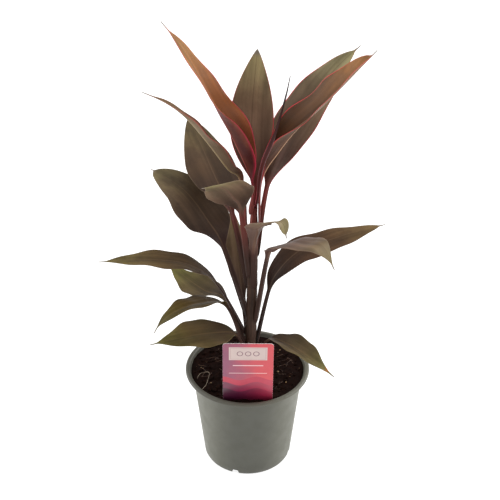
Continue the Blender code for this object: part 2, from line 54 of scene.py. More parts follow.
# Camera, in metres and degrees
CAMERA_PLACE = Vector((0.0025, -1.0014, 0.8789))
CAMERA_PITCH = 32.7
CAMERA_LENS = 93.6
CAMERA_SENSOR = 36.0

# Studio, in metres and watts: each softbox's place, the height that it aims at, its size and its power
SOFTBOXES = (
    ("softbox_left", (-1.6, 0.5, 1.0), 0.22, 1.6, 28),
    ("softbox_right", (1.6, 0.5, 1.0), 0.22, 1.6, 34),
    ("softbox_top", (0, 0.1, 2.0), 0.2, 1.4, 12),
)
WORLD_STRENGTH = 0.6
FLOOR_HALF_WIDTH = 12

# Pot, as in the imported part
POT_HEIGHT = 102.5
POT_LIP_RADIUS = 60.0
POT_LIP_INNER_RADIUS = 56.3
POT_LIP_SKIRT = 99.8
POT_WALL_TOP = 96.0
POT_WALL_TOP_RADIUS = 53.1
POT_WALL_BASE_RADIUS = 42.4
POT_WALL = 1.3
POT_CORNER = 2.0
POT_FLARE = 2.6
POT_RING_HEIGHT = 9
POT_FOOT_HEIGHT = 3
POT_FOOT_OUTER_RADIUS = 40.9
POT_FOOT_INNER_RADIUS = 36.5
POT_FLOOR_UNDERSIDE = 5.2
POT_FLOOR_TOP = 6.6
POT_DISH_RADIUS = 24.5
POT_DISH_TOP = 1.4
POT_DISH_SLOPE = 2.2
POT_SIDES = 144
POT_SHARP_ANGLE = 24
POT_CREASE_ANGLE = 38
POT_ROUNDING = 0.35
NOTCH_COUNT = 4
NOTCH_WIDTH = 8.5
NOTCH_HEIGHT = 5.2
NOTCH_DEPTH = 9.0
NOTCH_TOP_SHARE = 0.72
NOTCH_HEADING = -106.6
NOTCH_INSET = 1
NOTCH_ROUNDING = 1.2
DRAIN_HOLE_RADIUS = 3.2
DRAIN_HOLE_CIRCLE = 31.5
DRAIN_HOLE_CUT = 6

# Soil
SOIL_LEVEL = 99.2
SOIL_EDGE = 54.45
SOIL_SIDES = 200
SOIL_RINGS = 76
SOIL_MOUND = 1.5
SOIL_MOUND_RADIUS = 20.0
SOIL_CORNER = 2.6
SOIL_LUMPS = ((1.5, 11), (0.9, 4.2), (0.55, 1.7), (0.3, 0.8))  # height and size of clods, then of grains
SOIL_EDGE_WIDTH = 6
SOIL_EDGE_DROP = 0.6
SOIL_EDGE_ROUGHNESS = 0.35
CRUMB_COUNT = 420
CRUMB_SIZES = (0.5, 2.4)
CRUMB_SMALLNESS = 2.2  # the higher, the more of the crumbs are small
CRUMB_FINE_SIZE = 1.3  # crumbs above this size get finer faces
CRUMB_STRETCH = ((0.7, 1.3), (0.7, 1.3), (0.5, 0.9))
CRUMB_PUSH = 0.45
CRUMB_LIFT = 0.15
LUMP_GRAIN = 1.7
PALE_CRUMB_COUNT = 16
PALE_CRUMB_SIZES = (0.3, 0.7)
LIGHT_LUMPS = (  # across, along and size
    (29.6, -6.1, 1.0), (30.2, 25.8, 0.6), (32.2, 29.1, 0.8),
    (37, -21.6, 0.7), (-34.8, -23.1, 0.7), (-45.2, 1.7, 0.5),
)
LIGHT_LUMP_STRETCH = ((0.7, 1.2), (0.7, 1.2), 0.7)
LIGHT_LUMP_PUSH = 0.6
LIGHT_LUMP_LIFT = 0.3
FIBRE_COUNT = 46
FIBRE_POINTS = 6
FIBRE_RING = (12, 44)
FIBRE_LENGTH = (4, 15)
FIBRE_BEND = 1.3
FIBRE_LIFT = (0.2, 1.2)
FIBRE_RADIUS = (0.12, 0.24)
PALE_ROOT = (
    (-48.4, -18.2, 99.6), (-47.5, -15.6, 101.5), (-45.6, -13, 102.7), (-41.8, -11.9, 103.7),
    (-37.9, -11.8, 104.2), (-36.4, -14.9, 104.2), (-36.8, -17.3, 103.6), (-38.1, -23.7, 102.6),
    (-39.4, -29, 101.9), (-41.7, -32.5, 101.2), (-44, -34.8, 99.8),
)
PALE_ROOT_RADIUS = 0.26

# Cane
CANE_FOOT = Vector((1.5, 0, 48))
CANE_TOP = Vector((6.2, 0, 282))
CANE_FOOT_RADIUS = 6.2
CANE_TOP_RADIUS = 4.2
CANE_TIP_LENGTH = 24.0
CANE_TIP_RADIUS = 2.6
CANE_SIDES = 40
CANE_ROWS = 160
CANE_SCAR_SPACING = 15.0
CANE_LOWEST_SCAR = 7.0
CANE_SCAR_DEPTH = 0.35
CANE_SCAR_WIDTH = 0.06  # as a share of the spacing

# Label
LABEL_WIDTH = 46.6
LABEL_CARD_HEIGHT = 72.4
LABEL_CORNER = 3.0
LABEL_CORNER_STEPS = 10
LABEL_FOOT_CORNER = 1.2
LABEL_SHOULDER = 4.0
LABEL_SHOULDER_DROP = 4.4
LABEL_STAKE_WIDTH = 15.0
LABEL_STAKE_LENGTH = 44.8
LABEL_STAKE_POINT = 9.0
LABEL_THICKNESS = 0.5
LABEL_RIM_ANGLE = 60
LABEL_CREASE_ANGLE = 30
LABEL_ROUNDING = 0.12
LABEL_FOOT = Vector((-0.1, -43.3, 55))
LABEL_LEAN = 6.4
LABEL_SPIN = -0.5

# Label's print: across from the card's middle and down from its top
PRINT_SOFTNESS = 0.12
FIELD_SWIRL = 26
WAVE_LENGTH = 31
WAVE_HEIGHT = 2.4
PANEL_HALF_WIDTH = 17.6
PANEL_TOP = 4.6
PANEL_FOOT = 20.6
PANEL_LINE_INSET = 1.2
PANEL_LINE_WIDTH = 0.35
RING_SPACING = 7.5
RING_DOWN = 12.6
RING_RADIUS = 2.9
RING_HOLE_RADIUS = 2.2
PRINT_RULES = ((27.0, 28.0, 14.0), (36.9, 37.5, 17.6))  # start, end and half width

# Leaves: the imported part's lines and sections, with finer rows
GAP = 0.35
STALK_FOOT_WRAP = 0.8  # half width of the stalk's sheathing foot, as a share of the cane's radius
STALK_FOOT_THICKNESS = 0.9
STALK_FOOT_SHARE = 0.3
FOOT_ROUNDING = 6.0  # length over which a stalk's foot narrows to its rounded end
FOOT_END = 0.2  # width that is left at that end, as a share
STALK_HALF_WIDTH = 2.7
STALK_THICKNESS = 1.7
BLADE_THICKNESS = 0.5
BLADE_TAPER_BASE = 1.05
MARGIN_WAVE = 1.0
MARGIN_WAVES = 3.5
MARGIN_WAVE_LAG = 1.3
STALK_CHANNEL_START = 6
STALK_CHANNEL_BEND = 40
STALK_HUG = 0.4
BLADE_OPENING = 0.3
SECTION_STEPS = 60
FOLD_ROUND = 2.0  # how far from the midrib the fold reaches its full angle
CLASP_START = 0.12
CLASP_LENGTH = 0.45
STALK_ROWS = 22
BLADE_ROWS = 90
ROWS_ACROSS = 36  # from margin to margin, on each face
KEEL_HEIGHT = (1.1, 0.12)
KEEL_WIDTH = (1.5, 0.5)
GROOVE_DEPTH = 0.16
PLEAT_HEIGHT = 0.13
PLEAT_SPACING = 4.6
RIPPLE_HEIGHT = 0.7
RIPPLE_LENGTH = 26.0
GROOVE_WIDTH = 0.6
RIB_TAPER = 0.7
MARGIN_ROUNDING = 12  # the higher, the closer to the edge the blade starts to round off
OWN_PATTERN = 0.37  # shifts the streaks from leaf to leaf
DRY_SPOT = Vector((73.5, -62, 146))  # where the lowest right leaf has dried, near its tip

# height: where the stalk leaves the cane. heading: degrees from +X, as seen from above.
# spine: blade start, points along the midrib, tip. width: full width of the blade.
# roll, fold, curl: degrees at the blade's start and at its tip. finish: name of its colouring.
# outline: how far the widest place is from the middle, how pointed the tip is, and the share of the
# blade's length before its thin drip tip. clasp: degrees by which it is folded more near its base.
ORDINARY = (0.92, 1.1, 0.93)
Leaf = namedtuple(
    "Leaf", "name height heading spine width roll fold curl finish outline clasp", defaults=(ORDINARY, 0)
)

LEAVES = (
    Leaf(
        "leaf_low_right", 108, 335,
        [(20, -10, 141), (35, -26, 150), (51, -44, 152), (66, -58, 148), (80, -66, 140)],
        27, (0, 0), (35, 22), (-10, -10), "olive",
    ),
    Leaf(
        "leaf_low_left", 113, 246,
        [(-11, -14, 150), (-36, -32, 165), (-63, -48, 171), (-89, -58, 171)],
        40, (10, 4), (12, 8), (-12, -10), "olive",
    ),
    Leaf(
        "leaf_drooping_left", 124, 200,
        [(-20, -8, 179), (-45, -34, 200), (-66, -52, 203), (-78, -60, 196), (-84, -63, 187)],
        32, (-12, -12), (22, 12), (-16, -16), "olive",
    ),
    Leaf(
        "leaf_low_back", 118, 142,
        [(-20, 14, 169), (-41, 36, 166), (-59, 58, 165), (-82, 80, 170)],
        36, (0, 0), (14, 8), (-12, -10), "olive",
    ),
    Leaf(
        "leaf_long_left", 141, 176,
        [(-28, 2, 196), (-54, -3, 222), (-92, -10, 232), (-135, -20, 236)],
        31, (0, 0), (14, 8), (-12, -10), "bronze", (0.92, 0.95, 0.95),
    ),
    Leaf(
        "leaf_long_right", 128, 15,
        [(20.3, 4, 187), (30, 10, 208), (50, 23, 221.3), (77, 33, 226), (101, 42.5, 229), (132, 54, 230.5)],
        36, (-5, -3), (10, 0), (-12, -10), "bronze", (0.87, 0.7, 0.95),
    ),
    Leaf(
        "leaf_inner_back", 132, 100,
        [(-4, 16, 169), (-9, 42, 195), (-13, 64, 220), (-17, 82, 243)],
        22, (0, 0), (14, 8), (-12, -10), "bronze",
    ),
    Leaf(
        "leaf_mid_left", 160, 152,
        [(-22, 10, 232), (-37, 34, 247), (-60, 58, 266), (-92, 76, 279)],
        51, (10, 0), (10, 6), (-10, -8), "bronze", (0.92, 0.5, 0.96),
    ),
    Leaf(
        "leaf_front_right", 157, 325,
        [(18.4, -14, 236), (24.5, -24, 251), (38.4, -38, 268.4), (52, -51, 275), (65, -60, 277.7),
         (76, -64.5, 256)],
        42, (20, -1), (11, 0), (-12, -10), "taupe", (1.1, 1.43, 0.95),
    ),
    Leaf(
        "leaf_back_left", 190, 128,
        [(-14, 20, 263), (-30, 62, 277), (-45, 100, 293), (-59, 126, 313)],
        48, (0, 0), (10, 6), (-10, -8), "bronze", (0.92, 0.7, 0.95),
    ),
    Leaf(
        "leaf_front_left", 208, 215,
        [(-5, -12, 282), (-12, -26, 307), (-22, -46, 329), (-38, -66, 339)],
        42, (-40, -25), (14, 8), (-12, -10), "taupe", (0.92, 0.8, 0.95),
    ),
    Leaf(
        "leaf_front", 196, 300,
        [(5.7, -10.5, 240), (8.8, -28, 272), (11, -46, 289), (20, -56, 299.4), (30, -61, 302),
         (34, -60, 285.5)],
        25, (16, 9), (34, 7), (-12, -10), "taupe", (0.81, 0.5, 0.95), 36,
    ),
    Leaf(
        "leaf_back_right", 226, 48,
        [(18, 14, 294), (32, 24, 332), (54, 36, 367), (77, 46, 395), (100, 52, 416)],
        41, (-25, -25), (10, 6), (-10, -8), "flushed", (0.92, 0.75, 0.95),
    ),
    Leaf(
        "leaf_narrow_left", 238, 165,
        [(-5, 3.5, 304), (-17, -10, 327), (-34, -16, 356), (-52, -22, 383), (-69, -24, 398),
         (-88, -23, 407)],
        17, (-13, 8), (56, 35), (-8, -8), "narrow", (0.7, 0.7, 0.93), 48,
    ),
    Leaf(
        "leaf_top_back", 250, 95,
        [(7, 10, 299), (4, 20, 338), (5, 31, 372), (9, 41, 417)],
        39, (0, 0), (12, 8), (-10, -8), "flushed", (0.92, 0.85, 1.0),
    ),
    Leaf(
        "leaf_young_right", 262, 0,
        [(13, -1, 311), (28, -3, 341), (43, -5, 363), (60, -6, 381), (76, -10, 401), (108, -12, 440)],
        51, (-2, -5), (5, 37), (-8, -8), "russet", (1.05, 0.6, 0.95), 38,
    ),
    Leaf(
        "leaf_young_left", 276, 220,
        [(4.2, -2, 308), (-10, 3, 345), (-24, 8, 371), (-38, 9, 401), (-53, 9, 430), (-72, 6, 458)],
        46, (-8, 5), (44, 0), (-8, -8), "copper", (0.75, 0.8, 0.93), 24,
    ),
)

# How much darker or warmer each leaf is than its colouring: partly each leaf's own tone, partly painted
# light and shade on that leaf
TINTS = {
    "leaf_low_right": (1.28, 1.28, 1.61),
    "leaf_low_left": (1.21, 1.19, 1.21),
    "leaf_drooping_left": (0.68, 0.6, 0.35),
    "leaf_low_back": (1.24, 1.32, 1.4),
    "leaf_long_left": (1.02, 1.04, 0.83),
    "leaf_long_right": (0.9, 0.75, 0.7),
    "leaf_inner_back": (1.44, 1.45, 1.55),
    "leaf_mid_left": (1.01, 1.03, 1.17),
    "leaf_front_right": (1.04, 0.98, 1.05),
    "leaf_back_left": (0.91, 0.88, 0.95),
    "leaf_front_left": (1.27, 1.32, 1.24),
    "leaf_front": (1.16, 1.16, 1.24),
    "leaf_back_right": (1.44, 1.5, 1.85),
    "leaf_narrow_left": (1.28, 1.45, 1.52),
    "leaf_top_back": (1.77, 1.69, 2.07),
    "leaf_young_right": (0.66, 0.71, 0.56),
    "leaf_young_left": (0.84, 0.91, 0.8),
}

# Spear: the newest leaf, still rolled
SPEAR_PATH = (
    (7.6, -1.8, 282.9), (9.8, -9.5, 301.6), (11, -16, 320.7), (14.5, -20.5, 340.7),
    (24, -22, 368.1), (32, -19, 398.5), (36, -16, 417.9),
)
SPEAR_RADII = (1.2, 1.3, 1.6, 1.8, 1.1, 0.7, 0.3)
SPEAR_ROWS = 90
SPEAR_SIDES = 28
SPEAR_LAP = 0.22  # how far the rolled edge stands out, as a share of the radius
SPEAR_LAP_END = 0.9  # where it stands out most, as a share of the turn
SPEAR_WINDING = 0.6  # turns that the edge makes from foot to tip


def paint(red, green, blue):
    """A colour of 0 to 255, as seen on a screen, turned into the linear values that a shader takes."""
    def linear(value):
        value /= 255
        return value / 12.92 if value <= 0.04045 else ((value + 0.055) / 1.055) ** 2.4
    return (linear(red), linear(green), linear(blue), 1)


# Each leaf finish: how far the coloured margin reaches in millimetres, how rough the leaf is, then colours:
# the blade at its base, in its middle, at its tip and in its clouds; its underside at the base and further
# out; the margin; the midrib above and below; the stalk
# The dark base colours and the lighter tips are partly each leaf's own colour and partly painted shade and
# painted light.
LeafPaint = namedtuple(
    "LeafPaint", "margin_width rough deep blade tip cloud under_deep under margin rib keel stalk"
)
LEAF_COLOURS = {
    "olive": (
        0.5, 0.55, (54, 40, 30), (86, 71, 43), (100, 96, 46), (62, 54, 30),
        (72, 54, 42), (108, 94, 64), (110, 96, 60), (104, 84, 58),
        (116, 94, 70), (70, 50, 44),
    ),
    "bronze": (
        0.5, 0.55, (42, 27, 22), (82, 64, 44), (106, 94, 62), (60, 45, 33),
        (60, 42, 34), (102, 84, 64), (122, 102, 82), (94, 74, 56),
        (116, 92, 72), (66, 44, 42),
    ),
    "taupe": (
        0.5, 0.5, (64, 44, 37), (112, 92, 76), (112, 104, 70), (90, 75, 60),
        (66, 46, 40), (98, 78, 64), (146, 122, 104), (86, 66, 54),
        (110, 84, 70), (96, 58, 56),
    ),
    "flushed": (
        0.9, 0.55, (58, 34, 27), (99, 80, 57), (112, 104, 66), (78, 62, 43),
        (58, 30, 27), (104, 82, 64), (186, 42, 56), (80, 61, 46),
        (120, 84, 66), (150, 44, 54),
    ),
    "narrow": (
        0.65, 0.5, (82, 56, 46), (96, 72, 56), (110, 84, 56), (80, 62, 48),
        (100, 74, 58), (118, 98, 78), (172, 66, 64), (140, 120, 90),
        (168, 146, 110), (146, 48, 56),
    ),
    "russet": (
        1.2, 0.5, (58, 22, 18), (112, 74, 50), (162, 106, 64), (88, 58, 38),
        (84, 40, 34), (112, 80, 56), (206, 42, 60), (120, 70, 52),
        (214, 166, 130), (140, 44, 54),
    ),
    "copper": (
        1.3, 0.5, (92, 28, 12), (152, 88, 46), (166, 118, 68), (120, 64, 34),
        (74, 22, 24), (138, 58, 54), (196, 54, 78), (178, 112, 80),
        (170, 80, 76), (140, 40, 54),
    ),
}
LEAF_PAINTS = {
    name: LeafPaint(margin_width, rough, *(paint(*colour) for colour in colours))
    for name, (margin_width, rough, *colours) in LEAF_COLOURS.items()
}

BLACK = paint(0, 0, 0)
LOW_STALK = paint(66, 46, 39)
RED_STALK = paint(118, 58, 52)
RED_FROM = (0.225, 0.285)  # heights in metres over which the stalks turn red, and then bright
BRIGHT_FROM = (0.27, 0.34)
STALK_RIBS = (1.1, 0.03)
GREY_TIP = paint(124, 114, 102)
DRY_BROWN = paint(158, 98, 52)
# Scales of the streaks across and along the blade, and their darkest and lightest factor
BLADE_STREAKS = (((0.075, 0.009), 0.66, 1.28), ((0.36, 0.02), 0.92, 1.07))
VEIN_SLANT = 0.22
VEIN_SPACINGS = (1.5, 0.42)
UPPER_RIB_WIDTH = (1.2, 0.3)  # half width at the blade's base and at its tip
UNDER_RIB_WIDTH = (1.9, 0.6)

# Wavy bands of the label's print: where each starts, its colour, and what is left of it at the right edge
PRINT_BANDS = (
    (43.6, paint(188, 40, 70), 1.0), (50.6, paint(112, 30, 66), 0.25), (58.6, paint(74, 20, 48), 0.25),
)


# Curves and sections

def smooth(share):
    """Eases a share from 0 to 1, flat at both ends."""
    share = min(1.0, max(0.0, share))
    return share * share * (3 - 2 * share)


def mix(pair, share):
    """The value at a share of the way between the two of a pair."""
    return pair[0] + (pair[1] - pair[0]) * share


def cane_axis(height):
    """The middle of the cane at a height."""
    share = (height - CANE_FOOT.z) / (CANE_TOP.z - CANE_FOOT.z)
    return CANE_FOOT.lerp(CANE_TOP, share)


def cane_radius(height):
    """The cane's radius at a height, between its foot and its top."""
    share = min(1.0, max(0.0, (height - CANE_FOOT.z) / (CANE_TOP.z - CANE_FOOT.z)))
    return mix((CANE_FOOT_RADIUS, CANE_TOP_RADIUS), share)


def spline_point(points, position):
    """A point on the smooth curve through the points, at a position counted in points."""
    index = min(int(position), len(points) - 2)
    t = position - index
    before = points[index - 1] if index > 0 else 2 * points[0] - points[1]
    a, b = points[index], points[index + 1]
    after = points[index + 2] if index + 2 < len(points) else 2 * points[-1] - points[-2]
    return 0.5 * (
        2 * a + (b - before) * t + (2 * before - 5 * a + 4 * b - after) * t**2
        + (3 * a - before - 3 * b + after) * t**3
    )


class Line:
    """A smooth line through points, measured along its length."""

    SAMPLES = 24  # for each span between two points

    def __init__(self, points):
        self.points = [Vector(point) for point in points]
        count = self.SAMPLES * (len(self.points) - 1)
        self.samples = [spline_point(self.points, i / self.SAMPLES) for i in range(count + 1)]
        self.lengths = [0.0]
        for start, end in zip(self.samples, self.samples[1:]):
            self.lengths.append(self.lengths[-1] + (end - start).length)

    def at(self, length):
        """The point at a length along the line."""
        index = 0
        while index < len(self.lengths) - 2 and self.lengths[index + 1] < length:
            index += 1
        span = self.lengths[index + 1] - self.lengths[index]
        return self.samples[index].lerp(self.samples[index + 1], (length - self.lengths[index]) / span)


class Spine(Line):
    """A leaf's midrib. Along is -1 at the cane, 0 where the blade starts and 1 at its tip."""

    def __init__(self, leaf):
        heading = math.radians(leaf.heading)
        outward = Vector((math.cos(heading), math.sin(heading), 0))
        self.cane_reach = cane_radius(leaf.height) + GAP + STALK_FOOT_THICKNESS / 2
        self.foot_half_width = cane_radius(leaf.height) * STALK_FOOT_WRAP
        super().__init__([cane_axis(leaf.height) + outward * self.cane_reach, *leaf.spine])
        self.stalk_side = outward.cross(UP)
        self.blade_side = (self.points[-1] - self.points[1]).cross(UP).normalized()
        self.stalk = self.lengths[self.SAMPLES]
        self.blade = self.lengths[-1] - self.stalk

    def length_at(self, along):
        """The length along the midrib at a share of the stalk or of the blade."""
        return self.stalk * (1 + along) if along < 0 else self.stalk + self.blade * along

    def direction(self, along):
        """Which way the midrib runs, towards its tip."""
        step = 0.01
        ahead = self.at(self.length_at(min(1, along + step)))
        return (ahead - self.at(self.length_at(max(-1, along - step)))).normalized()


def half_width(leaf, spine, along):
    """Half of the leaf's flattened width: a narrowing stalk, then a blade that tapers to a drip tip."""
    if along <= 0:
        return mix((spine.foot_half_width, STALK_HALF_WIDTH), smooth(along + 1))
    skew, pointed, body_length = leaf.outline
    taper = mix((BLADE_TAPER_BASE, pointed), along)
    reach = min(1.0, along / body_length)
    body = leaf.width / 2 * math.sin(math.pi * reach**skew) ** taper
    return math.hypot(body, STALK_HALF_WIDTH * math.sqrt(1 - along))


class LeafRow:
    """One row across a leaf: where it is, which way it faces and how it bends."""

    def __init__(self, leaf, spine, along):
        self.along = along
        self.length = spine.length_at(along)
        self.centre = spine.at(self.length)
        tangent = spine.direction(along)
        side = spine.stalk_side.lerp(spine.blade_side, smooth(along + 1))
        side = (side - tangent * side.dot(tangent)).normalized()
        normal = side.cross(tangent)
        blade_share = max(0.0, along)
        roll = math.radians(mix(leaf.roll, blade_share) * smooth(along + 1))
        self.side = side * math.cos(roll) + normal * math.sin(roll)
        self.normal = normal * math.cos(roll) - side * math.sin(roll)
        foot = min(1.0, (along + 1) * spine.stalk / FOOT_ROUNDING)
        self.width = half_width(leaf, spine, along) * max(FOOT_END, math.sqrt(foot * (2 - foot)))
        hug = (0.0, self.width / spine.cane_reach)
        channel = (math.radians(STALK_CHANNEL_START), math.radians(STALK_CHANNEL_BEND))
        blade = (math.radians(mix(leaf.fold, blade_share)), math.radians(mix(leaf.curl, blade_share)))
        if along < 0:
            share = smooth((along + 1) / STALK_HUG)
            self.start, self.bend = (mix(pair, share) for pair in zip(hug, channel))
        else:
            share = smooth(along / BLADE_OPENING)
            self.start, self.bend = (mix(pair, share) for pair in zip(channel, blade))
            opening = 1 - smooth((along - CLASP_START) / CLASP_LENGTH)
            self.start += math.radians(leaf.clasp) * smooth(along / CLASP_START) * opening
        self.folds = [(0.0, 0.0)]
        for step in range(SECTION_STEPS):
            angle = self.angle((step + 0.5) / SECTION_STEPS)
            outward, lift = self.folds[-1]
            stride = self.width / SECTION_STEPS
            self.folds.append((outward + math.cos(angle) * stride, lift + math.sin(angle) * stride))

    def angle(self, reach):
        """How steeply the section rises at a share of the way from the midrib to the margin."""
        return self.start * smooth(reach * self.width / FOLD_ROUND) + self.bend * reach

    def point(self, across, upper):
        """A point of the leaf's upper or lower face. across runs from -1 to 1, margin to margin."""
        reach = abs(across)
        index = min(int(reach * SECTION_STEPS), SECTION_STEPS - 1)
        pairs = zip(self.folds[index], self.folds[index + 1])
        outward, lift = (mix(pair, reach * SECTION_STEPS - index) for pair in pairs)
        end = self.angle(reach)
        lift += self.relief(across)
        facing = self.normal * math.cos(end) - self.side * math.copysign(math.sin(end), across)
        middle = self.centre + self.side * math.copysign(outward, across) + self.normal * lift
        return middle + facing * self.offset(across, upper)

    def relief(self, across):
        """How far waves, ripples and lengthwise pleats lift the blade."""
        if self.along <= 0:
            return 0.0
        reach = abs(across)
        envelope = math.sin(math.pi * self.along)
        phase = MARGIN_WAVE_LAG if across > 0 else 0.0
        wave = MARGIN_WAVE * envelope * reach**2 * math.sin(2 * math.pi * MARGIN_WAVES * self.along + phase)
        spot = (self.centre + self.side * across * self.width) / RIPPLE_LENGTH
        ripple = RIPPLE_HEIGHT * envelope * reach * noise.noise(spot)
        away = reach * self.width
        pleat = PLEAT_HEIGHT * envelope * smooth(away / 3) * smooth((1 - reach) * 3)
        return wave + ripple + pleat * math.cos(2 * math.pi * away / PLEAT_SPACING)

    def offset(self, across, upper):
        """How far a face lies from the leaf's middle surface, with a keel below and a groove above."""
        rounding = math.sqrt(max(0.0, 1 - abs(across) ** MARGIN_ROUNDING))
        bladeness = smooth((self.along + 0.1) / 0.3)
        foot_share = smooth((self.along + 1) / STALK_FOOT_SHARE)
        thickness = mix((STALK_FOOT_THICKNESS, STALK_THICKNESS), foot_share)
        stalk_half = thickness / 2 * math.sqrt(max(0.0, 1 - 0.75 * across**2))
        half = mix((stalk_half, BLADE_THICKNESS / 2), bladeness) * rounding
        away = abs(across) * self.width
        rib_share = max(0.0, self.along)
        if upper:
            groove = GROOVE_DEPTH * bladeness * (1 - rib_share)
            return half - groove * math.exp(-((away / GROOVE_WIDTH) ** 2))
        keel = mix(KEEL_HEIGHT, rib_share**RIB_TAPER) * bladeness
        return -half - keel * math.exp(-((away / mix(KEEL_WIDTH, rib_share**RIB_TAPER)) ** 2))


# Meshes

def mesh_of(name, bm):
    """Turns a finished bmesh into a mesh, and frees it."""
    mesh = bpy.data.meshes.new(name)
    bm.to_mesh(mesh)
    bm.free()
    return mesh


def new_object(name, data):
    """A new object, linked to the scene."""
    thing = bpy.data.objects.new(name, data)
    bpy.context.scene.collection.objects.link(thing)
    return thing


def new_piece(name, bm, finishes, slot, *nodes):
    """A finished mesh as an object on the root body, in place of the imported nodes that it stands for."""
    mesh = mesh_of(name, bm)
    mesh.shade_smooth()
    for finish in finishes:
        mesh.materials.append(finish)
    piece = new_object(name, mesh)
    if nodes:
        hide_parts(*nodes)
    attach(piece, "root")
    return piece


def close_up(bm):
    """Joins a wrapped sheet along its seam, closes its ends and turns its faces outwards."""
    bmesh.ops.remove_doubles(bm, verts=bm.verts, dist=MERGE_DISTANCE)
    open_edges = [edge for edge in bm.edges if edge.is_boundary]
    if open_edges:
        bmesh.ops.holes_fill(bm, edges=open_edges, sides=0)
    bmesh.ops.recalc_face_normals(bm, faces=bm.faces)


def wrapped_sheet(rows, around, vectors=(), values=()):
    """A sheet that is to go once round a section, with each vertex's row and its turn round the section.

    The first half of the turn takes the first finish, and the second half the second. vectors and values
    name what is to be stored at each vertex.
    """
    bm = bmesh.new()
    stores = [bm.verts.layers.float_vector.new(name) for name in vectors]
    stores += [bm.verts.layers.float.new(name) for name in values]
    bmesh.ops.create_grid(bm, x_segments=rows, y_segments=around, size=1)
    for face in bm.faces:
        face.material_index = 0 if face.calc_center_median().y < 0 else 1
    places = []
    for vertex in bm.verts:
        row = round((vertex.co.x + 1) / 2 * rows)
        turn = round((vertex.co.y + 1) / 2 * around)
        places.append((vertex, row, turn))
    return bm, places, stores


def spread_across(share):
    """Draws the lines across a leaf closer together at the midrib and the margins."""
    return share - 0.11 * math.sin(2 * math.pi * share)


def make_leaf(leaf, upper_finish, under_finish):
    """One leaf with its stalk: a sheet wrapped round the section, upper face first, then the lower."""
    spine = Spine(leaf)
    rows = STALK_ROWS + BLADE_ROWS
    columns = 2 * ROWS_ACROSS
    bm, places, stores = wrapped_sheet(rows, columns, vectors=("place", "tint"), values=("along", "own"))
    place, tint, share, own = stores
    sections = []
    for row in range(rows + 1):
        along = (row - STALK_ROWS) / (STALK_ROWS if row < STALK_ROWS else BLADE_ROWS)
        sections.append(LeafRow(leaf, spine, along))
    for vertex, row, turn in places:
        section = sections[row]
        upper = turn < ROWS_ACROSS
        step = turn if upper else columns - turn
        across = spread_across(step / ROWS_ACROSS * 2 - 1)
        vertex.co = (section.centre if row == rows else section.point(across, upper)) * MM
        away = across * section.width
        vertex[place] = (away, section.length, section.width - abs(away))
        vertex[share] = section.along
        vertex[own] = leaf.height * OWN_PATTERN
        vertex[tint] = TINTS[leaf.name]
    close_up(bm)
    slot = "copper_leaf" if leaf.finish in ("copper", "russet") else "bronze_leaf"
    return new_piece(leaf.name + "_veined", bm, (upper_finish, under_finish), slot, leaf.name)


def make_spear(finish):
    """The rolled leaf: a tapered roll whose outer edge stands out and winds slowly round it."""
    line = Line(SPEAR_PATH)
    total = line.lengths[-1]
    bm, places, (turns, share_along) = wrapped_sheet(SPEAR_ROWS, SPEAR_SIDES, values=("turn", "along"))
    for vertex, row, turn in places:
        share = row / SPEAR_ROWS
        length = share * total
        here = line.at(length)
        ahead = (line.at(min(total, length + 1)) - line.at(max(0, length - 1))).normalized()
        side = ahead.cross(UP).normalized()
        front = side.cross(ahead)
        knot = share * (len(SPEAR_RADII) - 1)
        index = min(int(knot), len(SPEAR_RADII) - 2)
        radius = mix(SPEAR_RADII[index:index + 2], smooth(knot - index))
        lap = turn / SPEAR_SIDES
        angle = 2 * math.pi * (lap + SPEAR_WINDING * share)
        standing = smooth(lap / SPEAR_LAP_END) * (1 - smooth((lap - SPEAR_LAP_END) / (1 - SPEAR_LAP_END)))
        reach = radius * (1 + SPEAR_LAP * standing)
        vertex.co = (here + (side * math.cos(angle) + front * math.sin(angle)) * reach) * MM
        vertex[turns] = lap
        vertex[share_along] = share
    close_up(bm)
    return new_piece("spear_rolled", bm, (finish, finish), "bronze_leaf", "spear_leaf")


def turned(profile, sides):
    """A solid turned about Z from a profile of (radius, height) points, in millimetres."""
    bm = bmesh.new()
    chain = [bm.verts.new(Vector((radius, 0, height)) * MM) for radius, height in profile]
    edges = [bm.edges.new(pair) for pair in zip(chain, chain[1:])]
    bmesh.ops.spin(
        bm, geom=chain + edges, cent=ORIGIN, axis=UP, angle=2 * math.pi, steps=sides, use_merge=True
    )
    bmesh.ops.remove_doubles(bm, verts=bm.verts, dist=MERGE_DISTANCE)
    bmesh.ops.recalc_face_normals(bm, faces=bm.faces)
    return bm


def pot_wall_radius(height):
    """The outer radius of the pot's tapered wall at a height."""
    return mix((POT_WALL_BASE_RADIUS, POT_WALL_TOP_RADIUS), height / POT_WALL_TOP)


